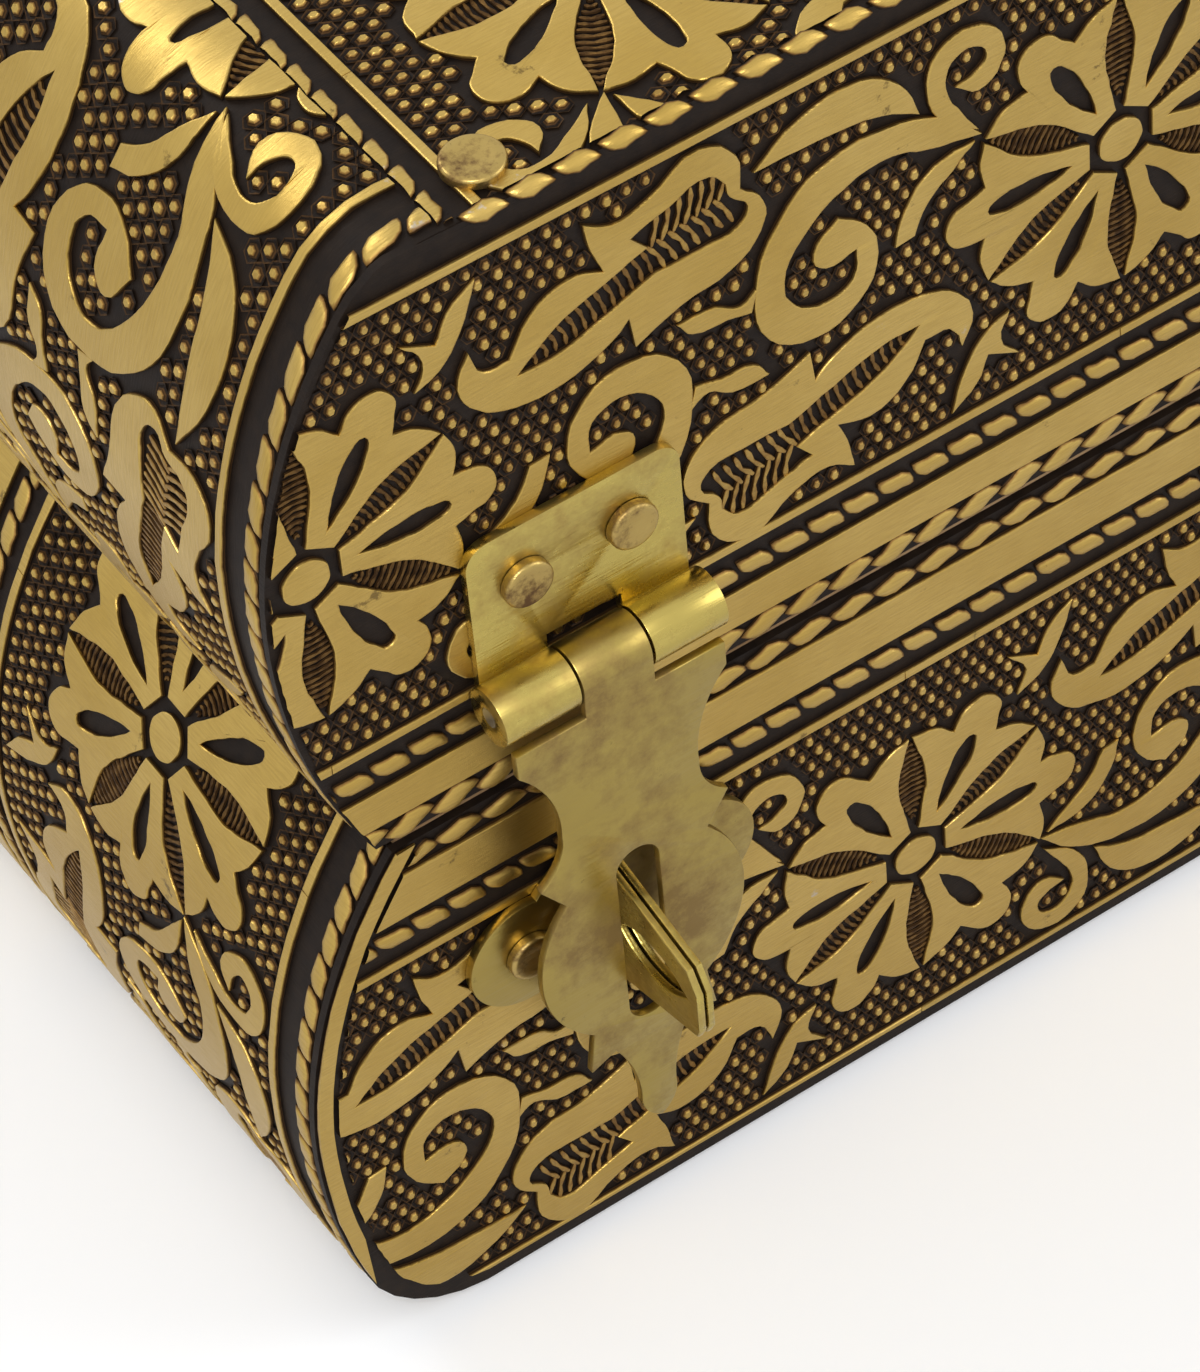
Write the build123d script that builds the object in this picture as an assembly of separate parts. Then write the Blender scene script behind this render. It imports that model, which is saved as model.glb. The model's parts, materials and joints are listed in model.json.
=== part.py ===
from build123d import *
import os
from math import asin, atan2, cos, pi, sin, sqrt

os.makedirs("parts", exist_ok=True)

# Whole case, in millimetres. The front faces -Y and the underside rests at Z = 0.
case_length = 200.0
case_depth = 118.0
rim_height = 55.4
seam_gap = 1.2
lid_height = 55.4
sheet = 1.2
wall = 6.0
top_board_thickness = 5.0
felt = 0.8
bottom_board_thickness = 5.2
lining = 1.2
side_wall_inset = 17.0

# Swelling ends of the base and of the lid, as arcs in the XZ plane
base_belly_height = 27.0
base_belly_inset = 0.0
base_seam_inset = 9.8
base_corner_inset = 14.2
base_corner_radius = 12.0
lid_belly_rise = 25.4
lid_belly_inset = 2.7
lid_seam_inset = 5.9
lid_corner_inset = 15.8
lid_corner_radius = 8.5
top_plate_inset = 20.2
felt_margin = 4.0

# Front latches, measured from the axis of the latch's own small hinge
hasp_inset = 27.2
hasp_axis_above_rim = 12.0
hasp_plate = 0.8
hasp_barrel_radius = 2.4
hasp_barrel_standoff = 0.1
hasp_pin_radius = 0.8
hasp_width = 19.2
hasp_middle_knuckle = 6.0
knuckle_gap = 0.2
running_clearance = 0.05
leaf_width = 18.2
leaf_height = 15.1
leaf_corner = 2.0
leaf_window_rise = 3.0
leaf_nail_spacing = 9.0
leaf_nail_rise = 9.7
nail_head_radius = 2.05
nail_head_height = 0.9
nail_shank_radius = 0.6
nail_length = 5.0
flap_length = 50.9
flap_heel_drop = 5.0
flap_waist_width = 12.2
flap_waist_drop = 13.5
flap_waist_hollow = 1.0
flap_spur_width = 16.8
flap_spur_drop = 18.2
flap_spur_hollow = 0.8
flap_notch_width = 12.6
flap_notch_drop = 21.2
flap_lobe_swell = 3.4
flap_lobe_end_width = 10.4
flap_lobe_end_drop = 37.2
flap_barb_width = 11.6
flap_barb_drop = 41.4
flap_root_width = 7.0
flap_root_drop = 40.4
flap_root_hollow = 0.5
flap_tail_width = 3.2
flap_tail_drop = 47.6
flap_tail_swell = 0.6
flap_slot_width = 3.8
flap_slot_top = 19.1
flap_slot_bottom = 38.3
staple_thickness = 1.4
staple_top = 23.4
staple_bottom = 36.9
staple_reach = 12.8
staple_end_top = 26.4
staple_end_bottom = 33.5
staple_hole_length = 9.0
staple_hole_width = 3.6
plate_drop = 29.3
plate_lobe_radius = 5.2
plate_lobe_spacing = 15.4
plate_bar_height = 7.0

# Rear hinges
hinge_inset = 45.0
hinge_width = 24.0
hinge_leaf_height = 15.0
hinge_plate = 0.8
hinge_barrel_radius = 2.0
hinge_barrel_standoff = 0.1
hinge_pin_radius = 0.7
hinge_middle_knuckle = 9.0
hinge_nail_spacing = 8.0
hinge_nail_head = 1.6

# Inside of the base
partition = 3.0
partition_top = 38.0
music_room_width = 55.3
cover_thickness = 2.5
floor_pad = 1.5
ring_roll_width = 9.0
ring_roll_pitch = 9.3
ring_roll_height = 18.0
ring_roll_count = 5
ring_roll_start_gap = 0.6

# Musical movement
block_gap = 0.5
key_from_back = 30.6
well_radius = 14.0
block_size = (48.0, 42.0, 9.0)
block_offset = 6.0
bedplate_size = (42.0, 36.0, 2.5)
arbor_radius = 1.5
key_wing_radius = 12.0
key_wing_thickness = 2.0
key_wing_height = 8.0
key_bottom = 2.0
spring_radius = 10.0
spring_height = 12.0
cylinder_radius = 3.6
cylinder_length = 15.0
cylinder_gap = 1.5
cylinder_axis_rise = 7.0
wheel_radius = 4.6
wheel_thickness = 1.5
comb_depth = 12.0
comb_thickness = 1.0
comb_teeth = 18
comb_tip_gap = 0.3
bracket_thickness = 1.2
governor_rise = 13.0
fly_radius = 3.2
stop_wire_radius = 0.75
stop_wire_from_key = 22.0
stop_wire_from_back = 4.6
stop_wire_gap = 0.3
screw_head_radius = 1.7
screw_head_height = 1.0
screw_radius = 0.9
tack_radius = 1.6
tack_height = 0.7
top_nail_radius = 2.4
top_nail_inset = 5.0
mirror_margin = 8.0
mirror_thickness = 2.0

half_length = case_length / 2
half_depth = case_depth / 2
lid_foot = rim_height + seam_gap
lid_top = lid_foot + lid_height
front = -half_depth
inner_x = half_length - side_wall_inset
inner_y = half_depth - sheet - wall
room_x = inner_x - lining
room_y = inner_y - lining
floor_z = felt + bottom_board_thickness
board_top = lid_top - sheet
ceiling_z = board_top - top_board_thickness
partition_x = room_x - music_room_width
divider_y = -room_y + ring_roll_start_gap + ring_roll_count * ring_roll_pitch
block_x = partition_x + partition + block_gap + block_size[0] / 2
key_x = block_x - block_offset
key_y = room_y - key_from_back
stop_wire_x = key_x + stop_wire_from_key
stop_wire_y = room_y - stop_wire_from_back


def box(x, y, z):
    size = [span[1] - span[0] for span in (x, y, z)]
    middle = [(span[1] + span[0]) / 2 for span in (x, y, z)]
    return Pos(*middle) * Box(*size)


def rod_x(radius, x, y, z):
    return Pos((x[0] + x[1]) / 2, y, z) * Rot(0, 90, 0) * Cylinder(radius, x[1] - x[0])


def rod_y(radius, x, y, z):
    return Pos(x, (y[0] + y[1]) / 2, z) * Rot(90, 0, 0) * Cylinder(radius, y[1] - y[0])


def rod_z(radius, x, y, z):
    return Pos(x, y, (z[0] + z[1]) / 2) * Cylinder(radius, z[1] - z[0])


def along_y(outline, y):
    return extrude(Plane.XZ.offset(-y[0]) * outline, -(y[1] - y[0]))


def save(shape, node):
    export_step(shape, f"parts/{node}.step")


def case_outline(inset, belly_inset, belly_z, seam_z, seam_inset, shut_z, corner_inset, corner_radius):
    """Cross-section of the base or the lid: two flank arcs and a rounded corner at each end."""
    up = 1 if shut_z > belly_z else -1
    belly = half_length - belly_inset - inset
    seam_r = (seam_inset ** 2 + (seam_z - belly_z) ** 2) / (2 * seam_inset) - inset
    corner_drop = abs(shut_z - belly_z) - corner_radius
    excess = corner_inset - corner_radius
    shut_r = (corner_inset ** 2 + corner_drop ** 2 - corner_radius ** 2) / (2 * excess) - inset
    corner_r = corner_radius - inset
    shut = shut_z - up * inset
    seam_angle = asin((seam_z - belly_z) / seam_r)
    corner_z = shut - up * corner_r
    reach = sqrt((shut_r - corner_r) ** 2 - (corner_z - belly_z) ** 2)
    corner_x = belly - shut_r + reach
    toe_angle = atan2(corner_z - belly_z, reach)

    def on_arc(centre_x, centre_z, radius, angle):
        return (centre_x + radius * cos(angle), centre_z + radius * sin(angle))

    seam = on_arc(belly - seam_r, belly_z, seam_r, seam_angle)
    seam_middle = on_arc(belly - seam_r, belly_z, seam_r, seam_angle / 2)
    widest = (belly, belly_z)
    toe_middle = on_arc(belly - shut_r, belly_z, shut_r, toe_angle / 2)
    toe = on_arc(belly - shut_r, belly_z, shut_r, toe_angle)
    corner_middle = on_arc(corner_x, corner_z, corner_r, (toe_angle + up * pi / 2) / 2)
    flat = (corner_x, shut)
    right = [seam, seam_middle, widest, toe_middle, toe, corner_middle, flat]
    edges = []
    for side in (1, -1):
        points = [(side * x, z) for x, z in right]
        edges += [ThreePointArc(*points[k:k + 3]) for k in (0, 2, 4)]
    edges.append(Line(flat, (-flat[0], flat[1])))
    edges.append(Line(seam, (-seam[0], seam[1])))
    return make_face(edges)


def base_outline(inset):
    return case_outline(inset, base_belly_inset, base_belly_height, rim_height, base_seam_inset,
                        felt, base_corner_inset, base_corner_radius)


def lid_outline(inset):
    return case_outline(inset, lid_belly_inset, lid_foot + lid_belly_rise, lid_foot, lid_seam_inset,
                        lid_top, lid_corner_inset, lid_corner_radius)


def nail(radius, height, shank, length):
    """A nail that lies along Y with the underside of its head at Y = 0 and its point towards +Y."""
    return rod_y(radius, 0, (-height, 0), 0) + rod_y(shank, 0, (-height / 2, length), 0)


def group(shapes):
    return Compound(children=[solid for shape in shapes for solid in shape.solids()])


everywhere = (-case_length, case_length)
full_depth = (-half_depth, half_depth)
core_depth = (-half_depth + sheet, half_depth - sheet)
front_wall = (core_depth[0], -inner_y)
back_wall = (inner_y, core_depth[1])

# Nails, tacks and screws come first, because boards and sheets are drilled for them.
hasp_x = {"left": -half_length + hasp_inset, "right": half_length - hasp_inset}
hinge_x = {"left": -half_length + hinge_inset, "right": half_length - hinge_inset}
hasp_z = rim_height + hasp_axis_above_rim
hasp_axis_y = front - hasp_barrel_standoff - hasp_barrel_radius
hinge_z = rim_height + seam_gap / 2
hinge_axis_y = half_depth + hinge_barrel_standoff + hinge_barrel_radius
plate_z = hasp_z - plate_drop


def front_nails(z, spacing, plate, head_radius):
    nails = []
    for x in hasp_x.values():
        for side in (-1, 1):
            place = Pos(x + side * spacing / 2, front - plate, z)
            nails.append(place * nail(head_radius, nail_head_height, nail_shank_radius, nail_length))
    return nails


def back_nails(z):
    nails = []
    for x in hinge_x.values():
        for side in (-1, 1):
            place = Pos(x + side * hinge_nail_spacing, half_depth + hinge_plate, z) * Rot(0, 0, 180)
            nails.append(place * nail(hinge_nail_head, nail_head_height, nail_shank_radius, nail_length))
    return nails


leaf_nails = front_nails(hasp_z + leaf_nail_rise, leaf_nail_spacing, hasp_plate, nail_head_radius)
plate_nails = front_nails(plate_z, plate_lobe_spacing, hasp_plate, nail_head_radius)
hinge_nail_offset = hinge_barrel_radius + (hinge_leaf_height - hinge_barrel_radius) / 2
lid_hinge_nails = back_nails(hinge_z + hinge_nail_offset)
base_hinge_nails = back_nails(hinge_z - hinge_nail_offset)

top_nails = []
for side_x in (-1, 1):
    for side_y in (-1, 1):
        place = Pos(side_x * (half_length - top_plate_inset - top_nail_inset),
                    side_y * (half_depth - sheet - wall / 2), lid_top)
        head = place * rod_z(top_nail_radius, 0, 0, (0, tack_height))
        top_nails.append(head + place * rod_z(nail_shank_radius, 0, 0, (-nail_length, tack_height / 2)))
base_tacks = []
for side_x in (-1, -1 / 3, 1 / 3, 1):
    for side_y in (-1, 1):
        place = Pos(side_x * (inner_x - 2 * felt_margin), side_y * (half_depth - sheet - wall / 2), felt)
        head = place * rod_z(tack_radius, 0, 0, (-tack_height, 0))
        base_tacks.append(head + place * rod_z(nail_shank_radius, 0, 0, (-tack_height / 2, nail_length)))


def drilled(shape, *groups):
    for shapes in groups:
        for tool in shapes:
            shape -= tool
    return shape


# Wooden carcass of the base and of the lid
base_core = base_outline(sheet)
lid_core = lid_outline(sheet)
well = rod_z(well_radius, key_x, key_y, (-felt, floor_z + block_size[2]))

save(drilled(along_y(base_core, front_wall), plate_nails, base_tacks), "base_front_board")
save(drilled(along_y(base_core, back_wall), base_hinge_nails, base_tacks), "base_back_board")
save(drilled(along_y(lid_core, front_wall), leaf_nails, top_nails), "lid_front_board")
save(drilled(along_y(lid_core, back_wall), lid_hinge_nails, top_nails), "lid_back_board")
for name, x in (("left", (-case_length, -inner_x)), ("right", (inner_x, case_length))):
    end_block = box(x, (-inner_y, inner_y), (0, 2 * lid_top))
    save(along_y(base_core, (-inner_y, inner_y)) & end_block, f"base_{name}_side")
    save(along_y(lid_core, (-inner_y, inner_y)) & end_block, f"lid_{name}_side")
bottom_board = box((-inner_x, inner_x), (-inner_y, inner_y), (felt, floor_z)) - well
save(bottom_board, "base_bottom_board")
top_block = box((-inner_x, inner_x), (-inner_y, inner_y), (ceiling_z, board_top))
save(along_y(lid_core, (-inner_y, inner_y)) & top_block, "lid_top_board")

# Embossed metal sheets on every outer face
lip = box((-inner_x, inner_x), (front, -inner_y), (felt, felt + sheet))
base_front_sheet = along_y(base_core, (front, core_depth[0])) + lip
save(drilled(base_front_sheet, plate_nails, base_tacks), "base_front_sheet")
base_back_sheet = along_y(base_core, (core_depth[1], half_depth)) + mirror(lip, Plane.XZ)
save(drilled(base_back_sheet, base_hinge_nails, base_tacks), "base_back_sheet")
save(drilled(along_y(lid_core, (front, core_depth[0])), leaf_nails), "lid_front_sheet")
save(drilled(along_y(lid_core, (core_depth[1], half_depth)), lid_hinge_nails), "lid_back_sheet")
base_wrap = along_y(base_outline(0), full_depth) - along_y(base_core, full_depth)
lid_wrap = along_y(lid_outline(0), full_depth) - along_y(lid_core, full_depth)
top_edge = half_length - top_plate_inset
for name, side in (("left", -1), ("right", 1)):
    for shape, wrap, edge in (("base", base_wrap, inner_x), ("lid", lid_wrap, top_edge)):
        x = sorted((side * edge, side * case_length))
        save(wrap & box(x, everywhere, (0, 2 * lid_top)), f"{shape}_{name}_sheet")
top_sheet = box((-top_edge, top_edge), full_depth, (board_top, lid_top))
save(drilled(top_sheet, top_nails), "lid_top_sheet")
save(group(top_nails), "lid_top_nails")
save(group(base_tacks), "base_tacks")

felt_x = inner_x + felt_margin
felt_y = half_depth - felt_margin
felt_mat = box((-felt_x, felt_x), (-felt_y, felt_y), (0, felt)) - well
save(drilled(felt_mat, base_tacks), "base_felt")

# Linings, partitions and ring rolls
hollow = box((-room_x, room_x), (-room_y, room_y), (0, ceiling_z - lining))
base_lining = box((-inner_x, inner_x), (-inner_y, inner_y), (floor_z, rim_height)) - hollow
save(base_lining, "base_lining")
lid_lining = box((-inner_x, inner_x), (-inner_y, inner_y), (lid_foot, ceiling_z)) - hollow
save(lid_lining, "lid_lining")
mirror_x = room_x - mirror_margin
mirror_y = room_y - mirror_margin
mirror_z = (ceiling_z - lining - mirror_thickness, ceiling_z - lining)
save(box((-mirror_x, mirror_x), (-mirror_y, mirror_y), mirror_z), "mirror")

partition_span = (partition_x, partition_x + partition)
save(box(partition_span, (-room_y, room_y), (floor_z, partition_top)), "cross_partition")
pad_top = floor_z + floor_pad
save(box((-room_x, partition_x), (-room_y, room_y), (floor_z, pad_top)), "floor_pad")
divider_top = partition_top + cover_thickness
divider = box((-room_x, partition_x), (divider_y, divider_y + partition), (pad_top, divider_top))
save(divider, "long_divider")
rolls = []
for k in range(ring_roll_count):
    y = -room_y + ring_roll_start_gap + ring_roll_pitch * k
    span = (y, y + ring_roll_width)
    crown = pad_top + ring_roll_height - ring_roll_width / 2
    length = (-room_x + ring_roll_start_gap, partition_x - ring_roll_start_gap)
    roll = box(length, span, (pad_top, crown))
    rolls.append(roll + rod_x(ring_roll_width / 2, length, sum(span) / 2, crown))
save(group(rolls), "ring_rolls")

# Musical movement: block with the key's well, bedplate, spring, cylinder, comb and governor
block_span_x = (block_x - block_size[0] / 2, block_x + block_size[0] / 2)
block_span_y = (key_y - block_size[1] / 2, key_y + block_size[1] / 2)
block_top = floor_z + block_size[2]
bed_top = block_top + bedplate_size[2]
bed_x = (block_x - bedplate_size[0] / 2, block_x + bedplate_size[0] / 2)
bed_y = (key_y - bedplate_size[1] / 2, key_y + bedplate_size[1] / 2)
spring_z = (bed_top, bed_top + spring_height)
axis_z = bed_top + cylinder_axis_rise
comb_z = (axis_z - comb_thickness / 2, axis_z + comb_thickness / 2)
cylinder_x = (key_x + spring_radius + cylinder_gap, key_x + spring_radius + cylinder_gap + cylinder_length)
comb_tip_y = key_y - cylinder_radius - comb_tip_gap
comb_y = (comb_tip_y - comb_depth, comb_tip_y)
comb_seat_y = (comb_y[0], comb_y[0] + comb_depth / 2)
wheel_x = (cylinder_x[1] - wheel_thickness, cylinder_x[1])
comb_x = (cylinder_x[0], wheel_x[0] - comb_tip_gap)


def screw(x, y, z):
    return rod_z(screw_head_radius, x, y, (z, z + screw_head_height)) + rod_z(screw_radius, x, y, (z - 3, z))


comb_screw_y = sum(comb_seat_y) / 2
screws = [screw(x, comb_screw_y, comb_z[1]) for x in (comb_x[0] + 3.5, comb_x[1] - 3.5)]
for x in (bed_x[0] + 2 * screw_radius, bed_x[1] - 2 * screw_radius):
    for y in (bed_y[0] + 2 * screw_radius, bed_y[1] - 2 * screw_radius):
        screws.append(screw(x, y, bed_top))
save(group(screws), "movement_screws")

block = box(block_span_x, block_span_y, (floor_z, block_top)) - well
save(drilled(block, screws), "movement_block")
comb_seat = box(comb_x, comb_seat_y, (bed_top, comb_z[0]))
bedplate = box(bed_x, bed_y, (block_top, bed_top)) + comb_seat
bedplate -= rod_z(arbor_radius + running_clearance, key_x, key_y, (0, lid_top))
save(drilled(bedplate, screws), "movement_bedplate")
comb = box(comb_x, comb_y, comb_z)
tooth_pitch = (comb_x[1] - comb_x[0]) / comb_teeth
for k in range(1, comb_teeth):
    slit_x = comb_x[0] + k * tooth_pitch
    comb -= box((slit_x - 0.12, slit_x + 0.12), (comb_seat_y[1] + 1, comb_y[1] + 1), (0, lid_top))
save(drilled(comb, screws), "comb")

spring_housing = rod_z(spring_radius, key_x, key_y, spring_z)
spring_housing -= rod_z(arbor_radius + running_clearance, key_x, key_y, (0, lid_top))
save(spring_housing, "spring_housing")
key_top = key_bottom + key_wing_height
arbor_z = (key_bottom + key_wing_height / 2, spring_z[1] + 1.0)
arbor = rod_z(arbor_radius, key_x, key_y, arbor_z)
arbor += rod_z(2 * arbor_radius, key_x, key_y, (spring_z[1] + running_clearance, spring_z[1] + 1.0))
save(arbor, "winding_arbor")
wing = box((-key_wing_radius, key_wing_radius), (-key_wing_thickness / 2, key_wing_thickness / 2),
           (key_bottom, key_top))
wing = fillet(wing.edges().filter_by(Axis.Y), key_wing_height / 2 - 0.6)
for side in (-1, 1):
    wing -= rod_y(key_wing_height / 5, side * key_wing_radius * 0.62, (-5, 5), (key_bottom + key_top) / 2)
key_boss = rod_z(2 * arbor_radius, 0, 0, (key_bottom + 1.5, key_top + 2.0))
winding_key = Pos(key_x, key_y, 0) * (wing + key_boss) - arbor
save(winding_key, "winding_key")

bracket_left = (cylinder_x[0] - running_clearance - bracket_thickness, cylinder_x[0] - running_clearance)
bracket_right = (cylinder_x[1] + running_clearance, cylinder_x[1] + running_clearance + bracket_thickness)
cylinder = rod_x(cylinder_radius, cylinder_x, key_y, axis_z)
cylinder += rod_x(wheel_radius, wheel_x, key_y, axis_z)
cylinder += rod_x(0.7, (bracket_left[0], bracket_right[1]), key_y, axis_z)
save(cylinder, "cylinder")
governor_x = cylinder_x[1] - 4.0
governor_y = key_y + cylinder_radius + 1.0 + fly_radius + 1.5
frame_y = (key_y + cylinder_radius + 1.4, governor_y + fly_radius + 2.0)
fly_z = (bed_top + governor_rise - 4.0, bed_top + governor_rise)
governor_top = (fly_z[1] + 0.6, fly_z[1] + 0.6 + bracket_thickness)
brackets = []
for x in (bracket_left, bracket_right):
    brackets.append(box(x, (key_y - 3.0, key_y + 3.0), (bed_top, axis_z + 3.0)))
post_y = (frame_y[1] - 1.5, frame_y[1])
frame_x = (governor_x - fly_radius - 0.8, governor_x + fly_radius + 0.8)
post = box(frame_x, post_y, (bed_top, governor_top[1]))
shelf = box(frame_x, frame_y, governor_top)
foot = box(frame_x, frame_y, (bed_top, bed_top + bracket_thickness))
governor_frame = group(brackets)
bore = rod_x(0.7 + running_clearance, (0, case_length), key_y, axis_z)
fly_axle_z = (bed_top + bracket_thickness, governor_top[1])
fly_bore = rod_z(0.5 + running_clearance, governor_x, governor_y, (fly_axle_z[0] + 0.2, lid_top))
save(group([brackets[0] - bore, brackets[1] - bore, (post + shelf + foot) - fly_bore]), "governor_frame")
fly = rod_z(0.5, governor_x, governor_y, (fly_axle_z[0] + 0.2, fly_axle_z[1]))
fly += box((governor_x - fly_radius, governor_x + fly_radius), (governor_y - 0.3, governor_y + 0.3), fly_z)
fly += rod_z(1.1, governor_x, governor_y, (bed_top + 3.0, fly_z[0] - 0.4))
save(fly, "governor_fly")

cover_z = (partition_top, partition_top + cover_thickness)
cover = box((partition_x, room_x), (-room_y, room_y), cover_z)
cover -= rod_z(stop_wire_radius + running_clearance, stop_wire_x, stop_wire_y, (0, lid_top))
save(cover, "movement_cover")
wire_top = rim_height + stop_wire_gap
wire_foot = governor_top[1] + stop_wire_radius
stop_wire = rod_z(stop_wire_radius, stop_wire_x, stop_wire_y, (wire_foot, wire_top))
stop_wire += rod_y(stop_wire_radius, stop_wire_x, (governor_y, stop_wire_y), wire_foot)
save(stop_wire, "stop_wire")
striker_z = wire_top + stop_wire_gap
striker_x = (stop_wire_x - 3.0, stop_wire_x + 3.0)
striker = box(striker_x, (stop_wire_y - 2.0, room_y), (striker_z, striker_z + hinge_plate))
striker += box(striker_x, (room_y - hinge_plate, room_y), (striker_z, striker_z + 8.0))
save(striker, "stop_striker")


def flap_outline():
    """Half of the shaped tongue from its knuckle (Z = 0 at the axis) down to the tail, and its mirror."""
    half_knuckle = hasp_middle_knuckle / 2
    shoulder = hasp_barrel_radius + knuckle_gap
    heel = (leaf_width / 2, -flap_heel_drop)
    waist = (flap_waist_width / 2, -flap_waist_drop)
    spur = (flap_spur_width / 2, -flap_spur_drop)
    notch = (flap_notch_width / 2, -flap_notch_drop)
    lobe_end = (flap_lobe_end_width / 2, -flap_lobe_end_drop)
    barb = (flap_barb_width / 2, -flap_barb_drop)
    root = (flap_root_width / 2, -flap_root_drop)
    tail = (flap_tail_width / 2, -flap_tail_drop)
    tip = (0, -flap_length)
    edges = []
    for side in (1, -1):
        def straight(start, end):
            return Line((side * start[0], start[1]), (side * end[0], end[1]))

        def curve(start, end, swell):
            middle = (side * ((start[0] + end[0]) / 2 + swell), (start[1] + end[1]) / 2)
            return ThreePointArc((side * start[0], start[1]), middle, (side * end[0], end[1]))

        edges += [
            straight((half_knuckle, 0), (half_knuckle, -shoulder)),
            straight((half_knuckle, -shoulder), (leaf_width / 2, -shoulder)),
            straight((leaf_width / 2, -shoulder), heel),
            curve(heel, waist, -flap_waist_hollow),
            curve(waist, spur, -flap_spur_hollow),
            straight(spur, notch),
            curve(notch, lobe_end, flap_lobe_swell),
            straight(lobe_end, barb),
            straight(barb, root),
            curve(root, tail, -flap_root_hollow),
            curve(tail, tip, flap_tail_swell),
        ]
    edges.append(Line((half_knuckle, 0), (-half_knuckle, 0)))
    return make_face(edges)


for name, x in hasp_x.items():
    # The leaf on the lid, with its two outer knuckles and the window over the middle one
    leaf_z = (hasp_z, hasp_z + leaf_height)
    leaf_x = (x - leaf_width / 2, x + leaf_width / 2)
    leaf = box(leaf_x, (front - hasp_plate, front), leaf_z)
    leaf = fillet(leaf.edges().filter_by(Axis.Y).group_by(Axis.Z)[-1], leaf_corner)
    leaf += rod_x(hasp_barrel_radius, (x - hasp_width / 2, x + hasp_width / 2), hasp_axis_y, hasp_z)
    half_window = hasp_middle_knuckle / 2 + knuckle_gap
    window_z = (hasp_z - 2 * hasp_barrel_radius, hasp_z + leaf_window_rise)
    leaf -= box((x - half_window, x + half_window), (front - 4 * hasp_barrel_radius, front), window_z)
    leaf -= rod_x(hasp_pin_radius, (x - hasp_width, x + hasp_width), hasp_axis_y, hasp_z)
    save(drilled(leaf, leaf_nails), f"hasp_leaf_{name}")

    # The hanging flap, tangent to the front of its knuckle, with the long slot
    flap_back = hasp_axis_y - hasp_barrel_radius + hasp_plate
    outline = Pos(x, hasp_z) * flap_outline()
    flap = along_y(outline, (flap_back - hasp_plate, flap_back))
    middle = (x - hasp_middle_knuckle / 2, x + hasp_middle_knuckle / 2)
    flap += rod_x(hasp_barrel_radius, middle, hasp_axis_y, hasp_z)
    flap -= rod_x(hasp_pin_radius + running_clearance, (x - hasp_width, x + hasp_width), hasp_axis_y, hasp_z)
    slot_middle = (flap_slot_top + flap_slot_bottom) / 2
    slot = SlotOverall(flap_slot_bottom - flap_slot_top, flap_slot_width, rotation=90)
    flap -= along_y(Pos(x, hasp_z - slot_middle) * slot, (flap_back - 2 * hasp_plate, front))
    save(flap, f"hasp_flap_{name}")

    # The plate on the base with its round lobes, and the folded staple that stands out of it
    plate_y = (front - hasp_plate, front)
    plate = box((x - plate_lobe_spacing / 2, x + plate_lobe_spacing / 2), plate_y,
                (plate_z - plate_bar_height / 2, plate_z + plate_bar_height / 2))
    for side in (-1, 1):
        plate += rod_y(plate_lobe_radius, x + side * plate_lobe_spacing / 2, plate_y, plate_z)
    plate += rod_y(plate_lobe_radius * 1.6, x, plate_y, plate_z)
    staple_out = front - staple_reach
    staple_edge = [
        Line((front, hasp_z - staple_top), (front, hasp_z - staple_bottom)),
        ThreePointArc((front, hasp_z - staple_bottom),
                      (front - staple_reach * 0.62, hasp_z - staple_bottom + 0.8),
                      (staple_out, hasp_z - staple_end_bottom)),
        Line((staple_out, hasp_z - staple_end_bottom), (staple_out, hasp_z - staple_end_top)),
        ThreePointArc((staple_out, hasp_z - staple_end_top),
                      (front - staple_reach * 0.55, hasp_z - staple_top - 1.0),
                      (front, hasp_z - staple_top)),
    ]
    staple_face = Plane.YZ.offset(x - staple_thickness / 2) * make_face(staple_edge)
    staple = extrude(staple_face, staple_thickness)
    hole = SlotOverall(staple_hole_length, staple_hole_width, rotation=30)
    hole_z = hasp_z - (staple_end_top + staple_end_bottom) / 2
    hole_place = Plane.YZ.offset(x - staple_thickness) * Pos(front - staple_reach * 0.52, hole_z)
    staple -= extrude(hole_place * hole, 2 * staple_thickness)
    save(staple, f"staple_{name}")
    save(drilled(plate, plate_nails) - staple, f"staple_plate_{name}")

hasp_pins = [rod_x(hasp_pin_radius, (x - hasp_width / 2, x + hasp_width / 2), hasp_axis_y, hasp_z)
             for x in hasp_x.values()]
save(group(hasp_pins), "hasp_pins")
save(group(leaf_nails), "hasp_leaf_nails")
save(group(plate_nails), "staple_nails")

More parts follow.
